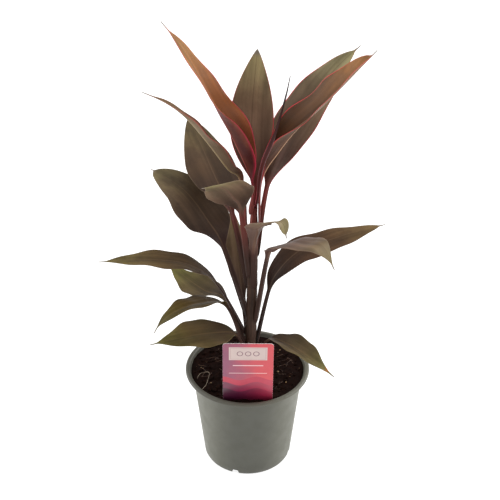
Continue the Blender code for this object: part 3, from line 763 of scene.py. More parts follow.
def pot_profile():
    """The pot's section: dished floor, inner wall, lip with its skirt, outer wall and foot ring."""
    corner = POT_FLOOR_TOP + POT_CORNER
    lip_underside = POT_HEIGHT - POT_WALL
    lip_inside = POT_LIP_RADIUS - POT_WALL
    inside = [
        (0, POT_DISH_TOP),
        (POT_DISH_RADIUS - POT_DISH_TOP, POT_DISH_TOP),
        (POT_DISH_RADIUS + POT_DISH_SLOPE - POT_DISH_TOP, POT_FLOOR_TOP),
        (pot_wall_radius(corner) - POT_WALL - POT_CORNER, POT_FLOOR_TOP),
        (pot_wall_radius(corner) - POT_WALL, corner),
        (POT_WALL_TOP_RADIUS - POT_WALL, POT_WALL_TOP),
        (POT_LIP_INNER_RADIUS - 1.5, POT_WALL_TOP + POT_FLARE),
        (POT_LIP_INNER_RADIUS - 0.8, POT_HEIGHT - 1.0),
        (POT_LIP_INNER_RADIUS, POT_HEIGHT),
    ]
    lip = [
        (POT_LIP_RADIUS - 1.8, POT_HEIGHT),
        (POT_LIP_RADIUS - 0.5, POT_HEIGHT - 0.6),
        (POT_LIP_RADIUS, POT_HEIGHT - 1.9),
        (POT_LIP_RADIUS, POT_LIP_SKIRT),
        (lip_inside, POT_LIP_SKIRT),
        (lip_inside, lip_underside - 0.7),
        (POT_LIP_RADIUS - 2, lip_underside),
        (POT_LIP_INNER_RADIUS + 0.6, lip_underside),
    ]
    outside = [
        (POT_LIP_INNER_RADIUS - 0.1, POT_WALL_TOP + POT_FLARE - 0.4),
        (POT_WALL_TOP_RADIUS, POT_WALL_TOP - 0.4),
        (pot_wall_radius(POT_RING_HEIGHT), POT_RING_HEIGHT),
        (pot_wall_radius(POT_FOOT_HEIGHT), POT_FOOT_HEIGHT),
        (POT_FOOT_OUTER_RADIUS + 0.7, 0.8),
        (POT_FOOT_OUTER_RADIUS, 0),
        (POT_FOOT_INNER_RADIUS, 0),
        (POT_FOOT_INNER_RADIUS - 1.2, POT_FLOOR_UNDERSIDE),
        (POT_DISH_RADIUS + POT_DISH_SLOPE, POT_FLOOR_UNDERSIDE),
        (POT_DISH_RADIUS, 0),
        (0, 0),
    ]
    return inside + lip + outside


def around(heading, radius, height=0.0):
    """A place at a heading in degrees, a radius and a height."""
    angle = math.radians(heading)
    return Vector((math.cos(angle) * radius, math.sin(angle) * radius, height))


def cut_away(piece, cutter_mesh):
    """Takes a cutter's shape out of a piece, for good."""
    cutter = new_object("cutter", cutter_mesh)
    cut = piece.modifiers.new("cut", "BOOLEAN")
    cut.operation = "DIFFERENCE"
    cut.solver = "EXACT"
    cut.object = cutter
    graph = bpy.context.evaluated_depsgraph_get()
    whole = bpy.data.meshes.new_from_object(piece.evaluated_get(graph))
    piece.modifiers.remove(cut)
    bpy.data.objects.remove(cutter)
    old = piece.data
    piece.data = whole
    bpy.data.meshes.remove(old)
    whole.name = piece.name


def add_notch(bm, heading):
    """Adds the cutter of one notch at the pot's foot: a block that narrows upwards, with rounded edges."""
    cube = bmesh.ops.create_cube(bm, size=1)["verts"]
    bmesh.ops.scale(bm, verts=cube, vec=Vector((NOTCH_DEPTH, NOTCH_WIDTH, 2 * NOTCH_HEIGHT)) * MM)
    top = [vertex for vertex in cube if vertex.co.z > 0]
    bmesh.ops.scale(bm, verts=top, vec=(1, NOTCH_TOP_SHARE, 1))
    edges = [edge for edge in bm.edges if all(vertex in top for vertex in edge.verts)]
    turn = Matrix.Rotation(math.radians(heading), 3, "Z")
    bmesh.ops.rotate(bm, verts=cube, cent=ORIGIN, matrix=turn)
    bmesh.ops.translate(bm, verts=cube, vec=around(heading, POT_FOOT_OUTER_RADIUS - NOTCH_INSET) * MM)
    sides = [edge for edge in edges if abs(edge.calc_length() - NOTCH_DEPTH * MM) < NEARLY_NOTHING]
    bmesh.ops.bevel(
        bm, geom=sides, offset=NOTCH_ROUNDING * MM, segments=4, profile=0.5, affect="EDGES", material=-1
    )


def add_drain_hole(bm, heading):
    """Adds the cutter of one round hole in the pot's floor."""
    radius = DRAIN_HOLE_RADIUS * MM
    hole = bmesh.ops.create_cone(
        bm, cap_ends=True, segments=32, radius1=radius, radius2=radius, depth=DRAIN_HOLE_CUT * MM
    )["verts"]
    floor_middle = (POT_FLOOR_UNDERSIDE + POT_FLOOR_TOP) / 2
    bmesh.ops.translate(bm, verts=hole, vec=around(heading, DRAIN_HOLE_CIRCLE, floor_middle) * MM)


def pot_cutters():
    """The notches at the foot and the drain holes in the floor, as one mesh."""
    bm = bmesh.new()
    spacing = 360 / NOTCH_COUNT
    for index in range(NOTCH_COUNT):
        heading = NOTCH_HEADING + spacing * index
        add_notch(bm, heading)
        add_drain_hole(bm, heading + spacing / 2)
    return mesh_of("pot_cutters", bm)


def make_pot(finish):
    """The moulded pot, its edges rounded and its notches and drain holes cut."""
    bm = turned(pot_profile(), POT_SIDES)
    corner = math.radians(POT_SHARP_ANGLE)
    sharp = [edge for edge in bm.edges if len(edge.link_faces) == 2 and edge.calc_face_angle() > corner]
    bmesh.ops.bevel(
        bm, geom=sharp, offset=POT_ROUNDING * MM, segments=3, profile=0.5, affect="EDGES",
        clamp_overlap=True, material=-1,
    )
    pot = new_piece("pot_moulded", bm, (finish,), "pot_plastic", "pot")
    cut_away(pot, pot_cutters())
    pot.data.set_sharp_from_angle(angle=math.radians(POT_CREASE_ANGLE))
    return pot


def soil_height(spot):
    """The level of the soil's rough top at a place in millimetres: a mound, clods and grains."""
    radius = math.hypot(spot.x, spot.y)
    mound = SOIL_MOUND * math.exp(-((radius / SOIL_MOUND_RADIUS) ** 2))
    lumps = sum(height * noise.noise(spot / size) for height, size in SOIL_LUMPS)
    edge = smooth((SOIL_EDGE - radius) / SOIL_EDGE_WIDTH)
    return SOIL_LEVEL + mound + lumps * mix((SOIL_EDGE_ROUGHNESS, 1.0), edge) - SOIL_EDGE_DROP * (1 - edge)


def make_soil(finish):
    """The peat: a turned block whose top is pushed up and down into clods and grains."""
    rings = [SOIL_EDGE * index / SOIL_RINGS for index in range(SOIL_RINGS + 1)]
    corner = POT_FLOOR_TOP + SOIL_CORNER
    clear = POT_WALL + GAP
    profile = [(radius, SOIL_LEVEL) for radius in rings]
    profile += [
        (POT_WALL_TOP_RADIUS - clear, POT_WALL_TOP + 0.15),
        (pot_wall_radius(corner) - clear, corner),
        (pot_wall_radius(corner) - clear - SOIL_CORNER, POT_FLOOR_TOP + GAP),
        (POT_DISH_RADIUS + 0.4, POT_FLOOR_TOP + GAP),
        (POT_DISH_RADIUS - 2.2, POT_DISH_TOP + GAP),
        (0, POT_DISH_TOP + GAP),
    ]
    bm = turned(profile, SOIL_SIDES)
    for vertex in bm.verts:
        if vertex.co.z > (SOIL_LEVEL - 0.1) * MM:
            spot = Vector((vertex.co.x, vertex.co.y, 0)) / MM
            vertex.co.z = soil_height(spot) * MM
    return new_piece("soil_crumbly", bm, (finish,), "peat", "soil")


def scatter_spot(random_source, inner=9.0, outer=51.0):
    """A random place on the soil's top, evenly spread over its area."""
    radius = math.sqrt(random_source.uniform(inner**2, outer**2))
    angle = random_source.uniform(0, 2 * math.pi)
    spot = Vector((math.cos(angle) * radius, math.sin(angle) * radius, 0))
    return Vector((spot.x, spot.y, soil_height(spot)))


def add_lump(bm, detail, push, shift, stretch, place, turn=0.0):
    """Adds a small ball pushed out of shape, stretched, turned about Z and laid at its place."""
    ball = bmesh.ops.create_icosphere(bm, subdivisions=detail, radius=1)["verts"]
    for vertex in ball:
        vertex.co = vertex.co * (1 + push * noise.noise(vertex.co * LUMP_GRAIN + Vector(shift)))
    bmesh.ops.scale(bm, verts=ball, vec=stretch * MM)
    bmesh.ops.rotate(bm, verts=ball, cent=ORIGIN, matrix=Matrix.Rotation(turn, 3, "Z"))
    bmesh.ops.translate(bm, verts=ball, vec=place * MM)


def make_crumbs(name, count, sizes, seed, finish):
    """Loose lumps on the soil, most of them small."""
    source = random.Random(seed)
    bm = bmesh.new()
    for index in range(count):
        size = mix(sizes, source.random() ** CRUMB_SMALLNESS)
        place = scatter_spot(source) + UP * size * CRUMB_LIFT
        stretch = Vector([source.uniform(*limits) for limits in CRUMB_STRETCH]) * size
        turn = source.uniform(0, math.pi)
        detail = 2 if size > CRUMB_FINE_SIZE else 1
        add_lump(bm, detail, CRUMB_PUSH, (index, 0, 0), stretch, place, turn)
    return new_piece(name, bm, (finish,), "peat")


def make_light_lumps(finish):
    """The few light lumps that lie on top, each at its own place."""
    source = random.Random(SEED + 5)
    bm = bmesh.new()
    for index, (x, y, size) in enumerate(LIGHT_LUMPS):
        place = Vector((x, y, 0))
        place.z = soil_height(place) + size * LIGHT_LUMP_LIFT
        wide, deep, tall = LIGHT_LUMP_STRETCH
        stretch = Vector((source.uniform(*wide), source.uniform(*deep), tall)) * size
        add_lump(bm, 2, LIGHT_LUMP_PUSH, (index, 3, 0), stretch, place)
    return new_piece("soil_light_lumps", bm, (finish,), "peat")


def tube_along(bm, points, radius, sides=5):
    """Adds a thin round strand along points in millimetres, pointed at both ends."""
    line = Line(points)
    total = line.lengths[-1]
    rows = 4 * (len(points) - 1)
    strand = bmesh.ops.create_grid(bm, x_segments=rows, y_segments=sides, size=1)["verts"]
    for vertex in strand:
        share = (vertex.co.x + 1) / 2
        angle = math.pi * (vertex.co.y + 1)
        length = share * total
        ahead = (line.at(min(total, length + 0.2)) - line.at(max(0, length - 0.2))).normalized()
        side = ahead.cross(UP).normalized()
        front = side.cross(ahead)
        reach = radius * math.sqrt(max(0.0, 1 - (2 * share - 1) ** 6))
        vertex.co = (line.at(length) + (side * math.cos(angle) + front * math.sin(angle)) * reach) * MM


def make_fibres(finish):
    """Fine root and peat fibres that lie across the soil."""
    source = random.Random(SEED + 3)
    bm = bmesh.new()
    for _ in range(FIBRE_COUNT):
        spot = scatter_spot(source, *FIBRE_RING)
        heading = source.uniform(0, 2 * math.pi)
        length = source.uniform(*FIBRE_LENGTH)
        bend = source.uniform(-FIBRE_BEND, FIBRE_BEND)
        points = []
        for step in range(FIBRE_POINTS):
            share = step / (FIBRE_POINTS - 1) - 0.5
            turn = heading + bend * share
            here = spot + Vector((math.cos(turn), math.sin(turn), 0)) * length * share
            here.z = soil_height(here) + source.uniform(*FIBRE_LIFT)
            points.append(here)
        tube_along(bm, points, source.uniform(*FIBRE_RADIUS))
    close_up(bm)
    return new_piece("soil_fibres", bm, (finish,), "peat")


def make_pale_root(finish):
    """The one pale root that loops over the soil at the front left."""
    bm = bmesh.new()
    tube_along(bm, PALE_ROOT, PALE_ROOT_RADIUS, 8)
    close_up(bm)
    return new_piece("pale_root", bm, (finish,), "peat")


def make_cane(finish):
    """The cane with its old leaf scars, from its foot in the soil to the growing tip."""
    length = CANE_TOP.z - CANE_FOOT.z
    tip_start = length - CANE_TIP_LENGTH
    profile = [(0, 0), (CANE_FOOT_RADIUS - 1, 0), (CANE_FOOT_RADIUS, 1)]
    for step in range(1, CANE_ROWS):
        height = tip_start * step / CANE_ROWS
        ring = ((height - CANE_LOWEST_SCAR) % CANE_SCAR_SPACING) / CANE_SCAR_SPACING
        scar = CANE_SCAR_DEPTH * math.exp(-(((ring - 0.5) / CANE_SCAR_WIDTH) ** 2))
        profile.append((cane_radius(CANE_FOOT.z + height) - scar, height))
    profile += [
        (CANE_TOP_RADIUS, tip_start),
        (CANE_TIP_RADIUS, length),
        (CANE_TIP_RADIUS / 2, length + 0.5),
        (0, length + 0.7),
    ]
    bm = turned(profile, CANE_SIDES)
    turn = UP.rotation_difference((CANE_TOP - CANE_FOOT).normalized()).to_matrix()
    bmesh.ops.rotate(bm, verts=bm.verts, cent=ORIGIN, matrix=turn)
    bmesh.ops.translate(bm, verts=bm.verts, vec=CANE_FOOT * MM)
    return new_piece("cane_ringed", bm, (finish,), "cane_bark", "cane")


def label_outline():
    """The card's outline with its pointed stake, in millimetres. The stake's tip is at the origin."""
    half = LABEL_WIDTH / 2
    stake = LABEL_STAKE_WIDTH / 2
    shoulder = LABEL_STAKE_LENGTH
    top = LABEL_STAKE_LENGTH + LABEL_CARD_HEIGHT
    right = [
        (1.5, 0),
        (stake, LABEL_STAKE_POINT),
        (stake, shoulder - 2 * LABEL_SHOULDER_DROP),
        (stake + LABEL_SHOULDER, shoulder - LABEL_SHOULDER_DROP),
        (half - LABEL_FOOT_CORNER, shoulder),
        (half, shoulder + LABEL_FOOT_CORNER),
    ]
    for step in range(LABEL_CORNER_STEPS + 1):
        angle = math.pi / 2 * step / LABEL_CORNER_STEPS
        x = half - LABEL_CORNER + LABEL_CORNER * math.cos(angle)
        y = top - LABEL_CORNER + LABEL_CORNER * math.sin(angle)
        right.append((x, y))
    return right + [(-x, y) for x, y in reversed(right)]


def make_label(print_finish, plain_finish):
    """The plant label: a thin card, printed in front, white behind and at its edges."""
    bm = bmesh.new()
    outline = [bm.verts.new((x * MM, y * MM, LABEL_THICKNESS / 2 * MM)) for x, y in label_outline()]
    face = bm.faces.new(outline)
    spread = bmesh.ops.extrude_face_region(bm, geom=[face])["geom"]
    back = [item for item in spread if isinstance(item, bmesh.types.BMVert)]
    bmesh.ops.translate(bm, verts=back, vec=(0, 0, -LABEL_THICKNESS * MM))
    bmesh.ops.recalc_face_normals(bm, faces=bm.faces)
    rims = [edge for edge in bm.edges if edge.calc_face_angle() > math.radians(LABEL_RIM_ANGLE)]
    bmesh.ops.bevel(
        bm, geom=rims, offset=LABEL_ROUNDING * MM, segments=2, profile=0.5, affect="EDGES", material=-1
    )
    place = bm.verts.layers.float_vector.new("print")
    for vertex in bm.verts:
        vertex[place] = vertex.co / MM
    for face in bm.faces:
        face.material_index = 0 if face.normal.z > 0.9 else 1
    lean = Matrix.Rotation(math.radians(90 + LABEL_LEAN), 3, "X")
    spin = Matrix.Rotation(math.radians(LABEL_SPIN), 3, "Z")
    bmesh.ops.rotate(bm, verts=bm.verts, cent=ORIGIN, matrix=lean @ spin)
    bmesh.ops.translate(bm, verts=bm.verts, vec=LABEL_FOOT * MM)
    label = new_piece("label_printed", bm, (print_finish, plain_finish), "label_card", "label")
    label.data.set_sharp_from_angle(angle=math.radians(LABEL_CREASE_ANGLE))
    return label


# Finishes

class Finish:
    """One material: its shader, and short ways to add the nodes that feed it."""

    def __init__(self, name, constants):
        self.material = bpy.data.materials.new(name)
        self.material.use_nodes = True
        self.tree = self.material.node_tree
        self.shader = self.tree.nodes["Principled BSDF"]
        for socket, value in constants.items():
            self.shader.inputs[socket].default_value = value

    def add(self, kind, settings, feeds):
        """Adds a node with its settings, and feeds its inputs."""
        node = self.tree.nodes.new(kind)
        for key, value in settings.items():
            setattr(node, key, value)
        for key, value in feeds.items():
            self.feed(node.inputs[key], value)
        return node

    def feed(self, socket, value):
        """Links another node's output to an input, or sets the input to a plain value."""
        if isinstance(value, bpy.types.NodeSocket):
            self.tree.links.new(value, socket)
        else:
            socket.default_value = value

    def spot(self):
        """The place on the object, in metres."""
        return self.add("ShaderNodeTexCoord", {}, {}).outputs["Object"]

    def stored(self, name, output="Vector"):
        """What the mesh holds at its vertices under a name."""
        return self.add("ShaderNodeAttribute", {"attribute_name": name}, {}).outputs[output]

    def parts(self, vector):
        node = self.add("ShaderNodeSeparateXYZ", {}, {"Vector": vector})
        return node.outputs["X"], node.outputs["Y"], node.outputs["Z"]

    def joined(self, x, y, z):
        return self.add("ShaderNodeCombineXYZ", {}, {"X": x, "Y": y, "Z": z}).outputs["Vector"]

    def stretched(self, first, second, third, scales):
        """A place for a noise: two measures, each times its scale, and a third as it is."""
        return self.joined(self.times(first, scales[0]), self.times(second, scales[1]), third)

    def distance(self, place, other=ORIGIN):
        """How far a place lies from another."""
        node = self.add("ShaderNodeVectorMath", {"operation": "DISTANCE"}, {0: place, 1: other})
        return node.outputs["Value"]

    def work(self, operation, first, second=0.0):
        return self.add("ShaderNodeMath", {"operation": operation}, {0: first, 1: second}).outputs[0]

    def times(self, first, second):
        return self.work("MULTIPLY", first, second)

    def noise(self, vector, scale, detail=3.0, roughness=0.5):
        feeds = {"Vector": vector, "Scale": scale, "Detail": detail, "Roughness": roughness}
        return self.add("ShaderNodeTexNoise", {}, feeds).outputs["Fac"]

    def step(self, value, low, high, first=0.0, last=1.0):
        """Goes smoothly from first to last as the value goes from low to high."""
        settings = {"interpolation_type": "SMOOTHSTEP"}
        feeds = {"Value": value, "From Min": low, "From Max": high, "To Min": first, "To Max": last}
        return self.add("ShaderNodeMapRange", settings, feeds).outputs["Result"]

    def mottled(self, vector, scale, detail, low, high):
        """Wanders between low and high from place to place."""
        return self.step(self.noise(vector, scale, detail), 0.3, 0.7, low, high)

    def blend(self, share, first, second, kind="MIX"):
        settings = {"data_type": "RGBA", "blend_type": kind}
        return self.add("ShaderNodeMix", settings, {0: share, 6: first, 7: second}).outputs[2]

    def shaded(self, colour, factor):
        """A colour made darker or lighter by a factor."""
        return self.blend(1.0, colour, factor, "MULTIPLY")

    def relief(self, height, strength, distance):
        """Fine unevenness of the surface."""
        feeds = {"Height": height, "Strength": strength, "Distance": distance}
        self.feed(self.shader.inputs["Normal"], self.add("ShaderNodeBump", {}, feeds).outputs["Normal"])

    def done(self, colour, roughness=None):
        """Feeds the shader and gives the finished material."""
        self.feed(self.shader.inputs["Base Color"], colour)
        if roughness is not None:
            self.feed(self.shader.inputs["Roughness"], roughness)
        return self.material


def leaf_finish(name, colours, upper):
    """A leaf's face: blade from dark base to greener tip, partly painted shade and light, streaks, veins,
    midrib, margin and stalk.
    """
    finish = Finish(name, {"Specular IOR Level": 0.12})
    away, run, edge = finish.parts(finish.stored("place"))
    along = finish.stored("along", "Fac")
    own = finish.stored("own", "Fac")
    spot = finish.spot()
    height = finish.parts(spot)[2]
    from_rib = finish.work("ABSOLUTE", away)

    deep, middle = (colours.deep, colours.blade) if upper else (colours.under_deep, colours.under)
    # The darkening towards the base and lightening towards the tip are partly the leaf's own colour and
    # partly painted shade by the cane and painted light at the tip.
    past_base = finish.step(along, 0.0, 0.7)
    near_tip = finish.step(along, 0.5, 0.98)
    clouds = finish.step(finish.noise(spot, 42, 4, 0.6), 0.4, 0.7, 0.0, 0.55)
    blade = finish.blend(near_tip, finish.blend(past_base, deep, middle), colours.tip)
    blade = finish.blend(clouds, blade, colours.cloud)
    for scales, dark, light in BLADE_STREAKS:
        streaks = finish.mottled(finish.stretched(away, run, own, scales), 1.0, 2, dark, light)
        blade = finish.shaded(blade, streaks)
    # Each leaf's tint: partly its own tone, partly painted light and shade.
    blade = finish.shaded(blade, finish.stored("tint", "Color"))

    slant = finish.work("SUBTRACT", from_rib, finish.times(run, VEIN_SLANT))
    waves = [finish.work("SINE", finish.times(slant, 2 * math.pi / spacing)) for spacing in VEIN_SPACINGS]
    veins = finish.step(waves[0], 0.55, 1.0)
    rib_colour = colours.rib if upper else colours.keel
    blade = finish.blend(finish.times(veins, 0.1), blade, rib_colour)
    rib_edge = finish.step(along, 0.0, 1.0, *(UPPER_RIB_WIDTH if upper else UNDER_RIB_WIDTH))
    rib = finish.step(from_rib, finish.times(rib_edge, 0.35), rib_edge, 1.0, 0.0)
    blade = finish.blend(finish.times(rib, 0.45 if upper else 0.85), blade, rib_colour)

    if not upper:
        flush = finish.step(edge, 0.3, 3.8, 0.5 * (colours.margin_width - 0.4), 0.0)
        blade = finish.blend(flush, blade, colours.margin)
    each_side = finish.joined(finish.work("SIGN", away), finish.times(run, 0.03), own)
    uneven = finish.step(finish.noise(each_side, 1.0, 3), 0.35, 0.6, 0.45, 1.0)
    on_blade = finish.step(along, 0.0, 0.08)
    fading_out = finish.step(along, 0.6, 0.95, 1.0, 0.3)
    margin = finish.step(edge, 0.4 * colours.margin_width, colours.margin_width, 1.0, 0.0)
    for fade in (on_blade, uneven, fading_out):
        margin = finish.times(margin, fade)
    blade = finish.blend(margin, blade, colours.margin)

    stalk = finish.blend(finish.step(height, *RED_FROM), LOW_STALK, RED_STALK)
    stalk = finish.blend(finish.step(height, *BRIGHT_FROM), stalk, colours.stalk)
    ribs = finish.mottled(finish.stretched(away, run, own, STALK_RIBS), 1.0, 3, 0.68, 1.16)
    stalk = finish.blend(ribs, BLACK, stalk)

    stalk_to_blade = finish.step(along, -0.08, 0.12)
    drip_tip = finish.step(along, 0.93, 0.985)
    whole = finish.blend(drip_tip, finish.blend(stalk_to_blade, stalk, blade), GREY_TIP)
    from_dry = finish.distance(spot, DRY_SPOT * MM)
    ragged = finish.work("ADD", from_dry, finish.mottled(spot, 500, 3, -0.0015, 0.0015))
    dried = finish.step(ragged, 0.0022, 0.0042, 0.85, 0.0)
    whole = finish.blend(dried, whole, DRY_BROWN)

    bumps = finish.work("ADD", finish.times(veins, 0.5), finish.times(waves[1], 0.12))
    finish.relief(finish.work("ADD", bumps, finish.noise(spot, 900, 3)), 0.3, 0.00012)
    return finish.done(whole, finish.mottled(spot, 60, 3, colours.rough - 0.05, colours.rough + 0.07))


def pot_finish():
    """Grey-green moulded plastic with a soft grain, faint handling marks and dust near the rim, with
    painted light and shade: a lip lighter to the right, a wall lighter at its sides, a darker inside.
    """
    finish = Finish("pot_plastic_moulded", {})
    spot = finish.spot()
    x, y, z = finish.parts(spot)
    broad = finish.step(finish.noise(spot, 14, 3), 0.35, 0.65, 0.985, 1.015)
    colour = finish.shaded(paint(76, 76, 66), broad)
    specks = finish.step(finish.noise(spot, 700, 2), 0.62, 0.72)
    colour = finish.blend(finish.times(specks, 0.08), colour, paint(96, 98, 86))
    dust = finish.step(finish.noise(spot, 55, 6, 0.65), 0.52, 0.75)
    dust = finish.times(dust, finish.step(z, 0.07, 0.1025, 0.0, 0.2))
    colour = finish.blend(dust, colour, paint(112, 104, 90))

    lip = finish.step(z, POT_WALL_TOP * MM, POT_LIP_SKIRT * MM)
    # Painted light on the lip: darker at its left and lighter towards its right.
    lip_painted_light = finish.blend(finish.step(x, -0.06, 0.06), (0.88, 0.82, 0.82, 1), (1.6, 1.54, 1.54, 1))
    # Painted light on the wall: lighter at its sides than in its middle.
    wall_painted_light = finish.step(finish.work("ABSOLUTE", x), 0.01, 0.042, 0.97, 1.6)
    colour = finish.shaded(colour, finish.blend(lip, wall_painted_light, lip_painted_light))
    # Painted shade inside the pot: plastic lying more than a millimetre inside the outer wall is painted
    # dark.
    slope = (POT_WALL_TOP_RADIUS - POT_WALL_BASE_RADIUS) / POT_WALL_TOP
    wall = finish.work("ADD", finish.times(z, slope), POT_WALL_BASE_RADIUS * MM)
    from_wall = finish.work("SUBTRACT", finish.distance(finish.joined(x, y, 0.0)), wall)
    colour = finish.blend(finish.step(from_wall, -1.0 * MM, -0.5 * MM), paint(56, 50, 42), colour)
    finish.relief(finish.noise(spot, 2200, 2), 0.18, 0.0001)
    return finish.done(colour, finish.mottled(spot, 90, 4, 0.44, 0.56))


def peat_finish(name, dark, light, share):
    """Damp crumbly peat: nearly black, with brown crumbs and specks."""
    finish = Finish(name, {"Specular IOR Level": 0.04})
    spot = finish.spot()
    lumps = finish.step(finish.noise(spot, 260, 6, 0.7), 0.45, 0.72)
    colour = finish.blend(finish.times(lumps, share), dark, light)
    specks = finish.step(finish.noise(spot, 900, 2), 0.66, 0.74)
    colour = finish.blend(finish.times(specks, 0.35), colour, paint(86, 52, 33))
    finish.relief(finish.noise(spot, 700, 6, 0.75), 0.9, 0.0008)
    return finish.done(colour, finish.step(lumps, 0.0, 1.0, 0.7, 0.95))


def strand_finish(name, colour, dull):
    """Dry plant matter that wanders between two tones."""
    finish = Finish(name, {})
    spot = finish.spot()
    tone = finish.blend(finish.step(finish.noise(spot, 400, 3), 0.35, 0.65), colour, dull)
    finish.relief(finish.noise(spot, 1500, 2), 0.4, 0.0002)
    return finish.done(tone, 0.6)


def cane_finish():
    """Smooth stem skin: brown-purple below and red towards the growing tip."""
    finish = Finish("cane_skin", {"Specular IOR Level": 0.2})
    x, y, z = finish.parts(finish.spot())
    colour = finish.blend(finish.step(z, 0.22, 0.29), paint(68, 49, 39), paint(124, 58, 50))
    stretched = finish.joined(finish.times(x, 900), finish.times(y, 900), finish.times(z, 60))
    fibres = finish.noise(stretched, 1.0, 4, 0.6)
    finish.relief(fibres, 0.4, 0.0003)
    return finish.done(finish.shaded(colour, finish.step(fibres, 0.3, 0.7, 0.65, 1.4)), 0.5)


def spear_finish():
    """The rolled leaf: dark maroon, with the crimson margin as a fine line along its lap."""
    finish = Finish("spear_skin", {"Specular IOR Level": 0.2})
    turn = finish.stored("turn", "Fac")
    along = finish.stored("along", "Fac")
    colour = finish.blend(finish.step(along, 0.2, 0.9), paint(82, 28, 27), paint(46, 26, 22))
    stretched = finish.stretched(turn, along, 0.0, (9, 3))
    colour = finish.shaded(colour, finish.mottled(stretched, 1.4, 4, 0.8, 1.15))
    lap = finish.times(finish.step(turn, 0.84, 0.9), finish.step(along, 0.6, 0.9, 0.9, 0.0))
    colour = finish.blend(lap, colour, paint(180, 56, 76))
    finish.relief(finish.noise(stretched, 4, 3), 0.3, 0.0002)
    return finish.done(colour, 0.45)


def label_print():
    """The card's print: a pale panel and plain rules on a field from mauve to coral, over wavy bands."""
    finish = Finish("label_print", {"Coat Weight": 0.3, "Coat Roughness": 0.25})
    x, y, _ = finish.parts(finish.stored("print"))
    half = LABEL_WIDTH / 2
    down = finish.work("SUBTRACT", LABEL_STAKE_LENGTH + LABEL_CARD_HEIGHT, y)
    spot = finish.spot()

    def within(value, low, high):
        """1 between two limits and 0 outside them."""
        rise = finish.step(value, low - PRINT_SOFTNESS, low + PRINT_SOFTNESS)
        fall = finish.step(value, high - PRINT_SOFTNESS, high + PRINT_SOFTNESS, 1.0, 0.0)
        return finish.times(rise, fall)

    def box(half_width, start, end):
        """A rectangle about the card's middle line."""
        return finish.times(within(x, -half_width, half_width), within(down, start, end))

    def panel(inset):
        """The pale panel's shape, drawn in all round."""
        return box(PANEL_HALF_WIDTH - inset, PANEL_TOP + inset, PANEL_FOOT - inset)

    def disc(across, radius):
        """A round spot in the middle of the panel's height."""
        reach = finish.distance(finish.joined(x, down, 0.0), (across, RING_DOWN, 0))
        return finish.step(reach, radius - PRINT_SOFTNESS, radius + PRINT_SOFTNESS, 1.0, 0.0)

    def ring_of(outer, inner):
        """What is left of one shape when another is taken out of it."""
        return finish.work("MAXIMUM", finish.work("SUBTRACT", outer, inner), 0.0)

    swirl = finish.noise(finish.stretched(x, y, 0.0, (0.05, 0.05)), 1.4, 2)
    lean = finish.work("ADD", x, finish.times(finish.work("SUBTRACT", swirl, 0.5), FIELD_SWIRL))
    field = finish.blend(finish.step(lean, -half, half * 0.7), paint(140, 68, 98), paint(208, 62, 72))
    wave = finish.work("SINE", finish.times(x, 2 * math.pi / WAVE_LENGTH))
    crest = finish.work("ADD", finish.times(wave, WAVE_HEIGHT), down)
    for start, colour, share_at_right in PRINT_BANDS:
        fade = finish.step(x, -half, half, 1.0, share_at_right)
        field = finish.blend(finish.times(finish.step(crest, start, start + 0.6), fade), field, colour)

    field = finish.blend(panel(0), field, paint(206, 184, 178))
    frame_line = ring_of(panel(PANEL_LINE_INSET), panel(PANEL_LINE_INSET + PANEL_LINE_WIDTH))
    field = finish.blend(frame_line, field, paint(182, 140, 140))
    for across in (-RING_SPACING, 0.0, RING_SPACING):
        ring = ring_of(disc(across, RING_RADIUS), disc(across, RING_HOLE_RADIUS))
        field = finish.blend(ring, field, paint(122, 76, 92))
    for start, end, reach in PRINT_RULES:
        field = finish.blend(finish.times(box(reach, start, end), 0.85), field, paint(244, 214, 214))
    field = finish.shaded(field, finish.mottled(spot, 120, 3, 0.97, 1.03))
    return finish.done(field, finish.mottled(spot, 300, 3, 0.34, 0.42))


def card_finish():
    """The plain white plastic of the card's back, edges and stake."""
    finish = Finish("label_card_white", {})
    spot = finish.spot()
    tone = finish.blend(finish.mottled(spot, 80, 4, 0.0, 1.0), paint(226, 224, 220), paint(238, 236, 232))
    finish.relief(finish.noise(spot, 1200, 2), 0.1, 0.0001)
    return finish.done(tone, 0.42)


def floor_finish():
    """Matte white paper, lit a little from within so that it stays white to its edges."""
    glow = {"Emission Color": (1, 1, 1, 1), "Emission Strength": 0.85}
    finish = Finish("floor_paper", {"Roughness": 0.9, "Specular IOR Level": 0.0, **glow})
    tone = finish.mottled(finish.spot(), 6, 2, 0.985, 1.0)
    return finish.done(finish.shaded(paint(170, 170, 169), tone))


# Studio

def make_floor():
    """The pale floor that the pot stands on."""
    bm = bmesh.new()
    bmesh.ops.create_grid(bm, x_segments=1, y_segments=1, size=FLOOR_HALF_WIDTH)
    mesh = mesh_of("floor", bm)
    mesh.materials.append(floor_finish())
    new_object("floor", mesh)


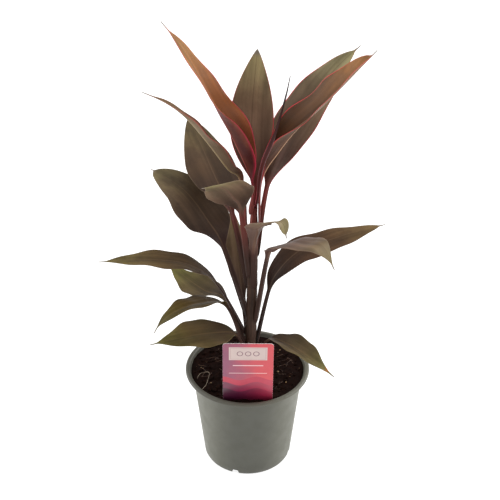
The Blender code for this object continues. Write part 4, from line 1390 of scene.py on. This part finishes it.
def add_softbox(name, place, aim_height, size, power):
    """A square area light that looks at a height on the plant's axis."""
    light = bpy.data.lights.new(name, "AREA")
    light.size = size
    light.energy = power
    softbox = new_object(name, light)
    softbox.location = place
    softbox.rotation_mode = "QUATERNION"
    softbox.rotation_quaternion = (UP * aim_height - Vector(place)).to_track_quat("-Z", "Y")


def make_studio():
    """A white sweep lit from all round, brighter behind and at the sides than from the camera."""
    make_floor()
    for softbox in SOFTBOXES:
        add_softbox(*softbox)
    world = bpy.data.worlds.new("white_studio")
    world.use_nodes = True
    background = world.node_tree.nodes["Background"]
    background.inputs["Color"].default_value = (1, 1, 1, 1)
    background.inputs["Strength"].default_value = WORLD_STRENGTH
    bpy.context.scene.world = world
    bpy.context.scene.view_settings.view_transform = "Standard"


def make_camera():
    """The camera, in front of the plant and looking down on it."""
    lens = bpy.data.cameras.new("camera")
    lens.lens = CAMERA_LENS
    lens.sensor_width = CAMERA_SENSOR
    camera = new_object("camera", lens)
    camera.location = CAMERA_PLACE
    camera.rotation_euler = (math.radians(90 - CAMERA_PITCH), 0, 0)
    bpy.context.scene.camera = camera


def main():
    """Builds the camera, the studio and every piece of the plant, its pot and its label."""
    make_camera()
    make_studio()
    make_pot(pot_finish())
    make_soil(peat_finish("peat_top", paint(22, 10, 7), paint(50, 26, 18), 0.36))
    crumbs = peat_finish("peat_crumbs", paint(19, 8, 5), paint(56, 30, 21), 0.45)
    make_crumbs("soil_crumbs", CRUMB_COUNT, CRUMB_SIZES, SEED, crumbs)
    pale = strand_finish("pale_grit", paint(168, 138, 92), paint(120, 88, 54))
    make_crumbs("soil_grit", PALE_CRUMB_COUNT, PALE_CRUMB_SIZES, SEED + 1, pale)
    make_light_lumps(pale)
    make_fibres(strand_finish("peat_fibre", paint(96, 66, 46), paint(52, 32, 22)))
    make_pale_root(strand_finish("root_pale", paint(150, 136, 118), paint(96, 82, 68)))
    make_cane(cane_finish())
    make_label(label_print(), card_finish())
    make_spear(spear_finish())
    faces = {}
    for name, colours in LEAF_PAINTS.items():
        upper = leaf_finish(f"leaf_{name}_upper", colours, True)
        under = leaf_finish(f"leaf_{name}_under", colours, False)
        faces[name] = (upper, under)
    for leaf in LEAVES:
        make_leaf(leaf, *faces[leaf.finish])


main()
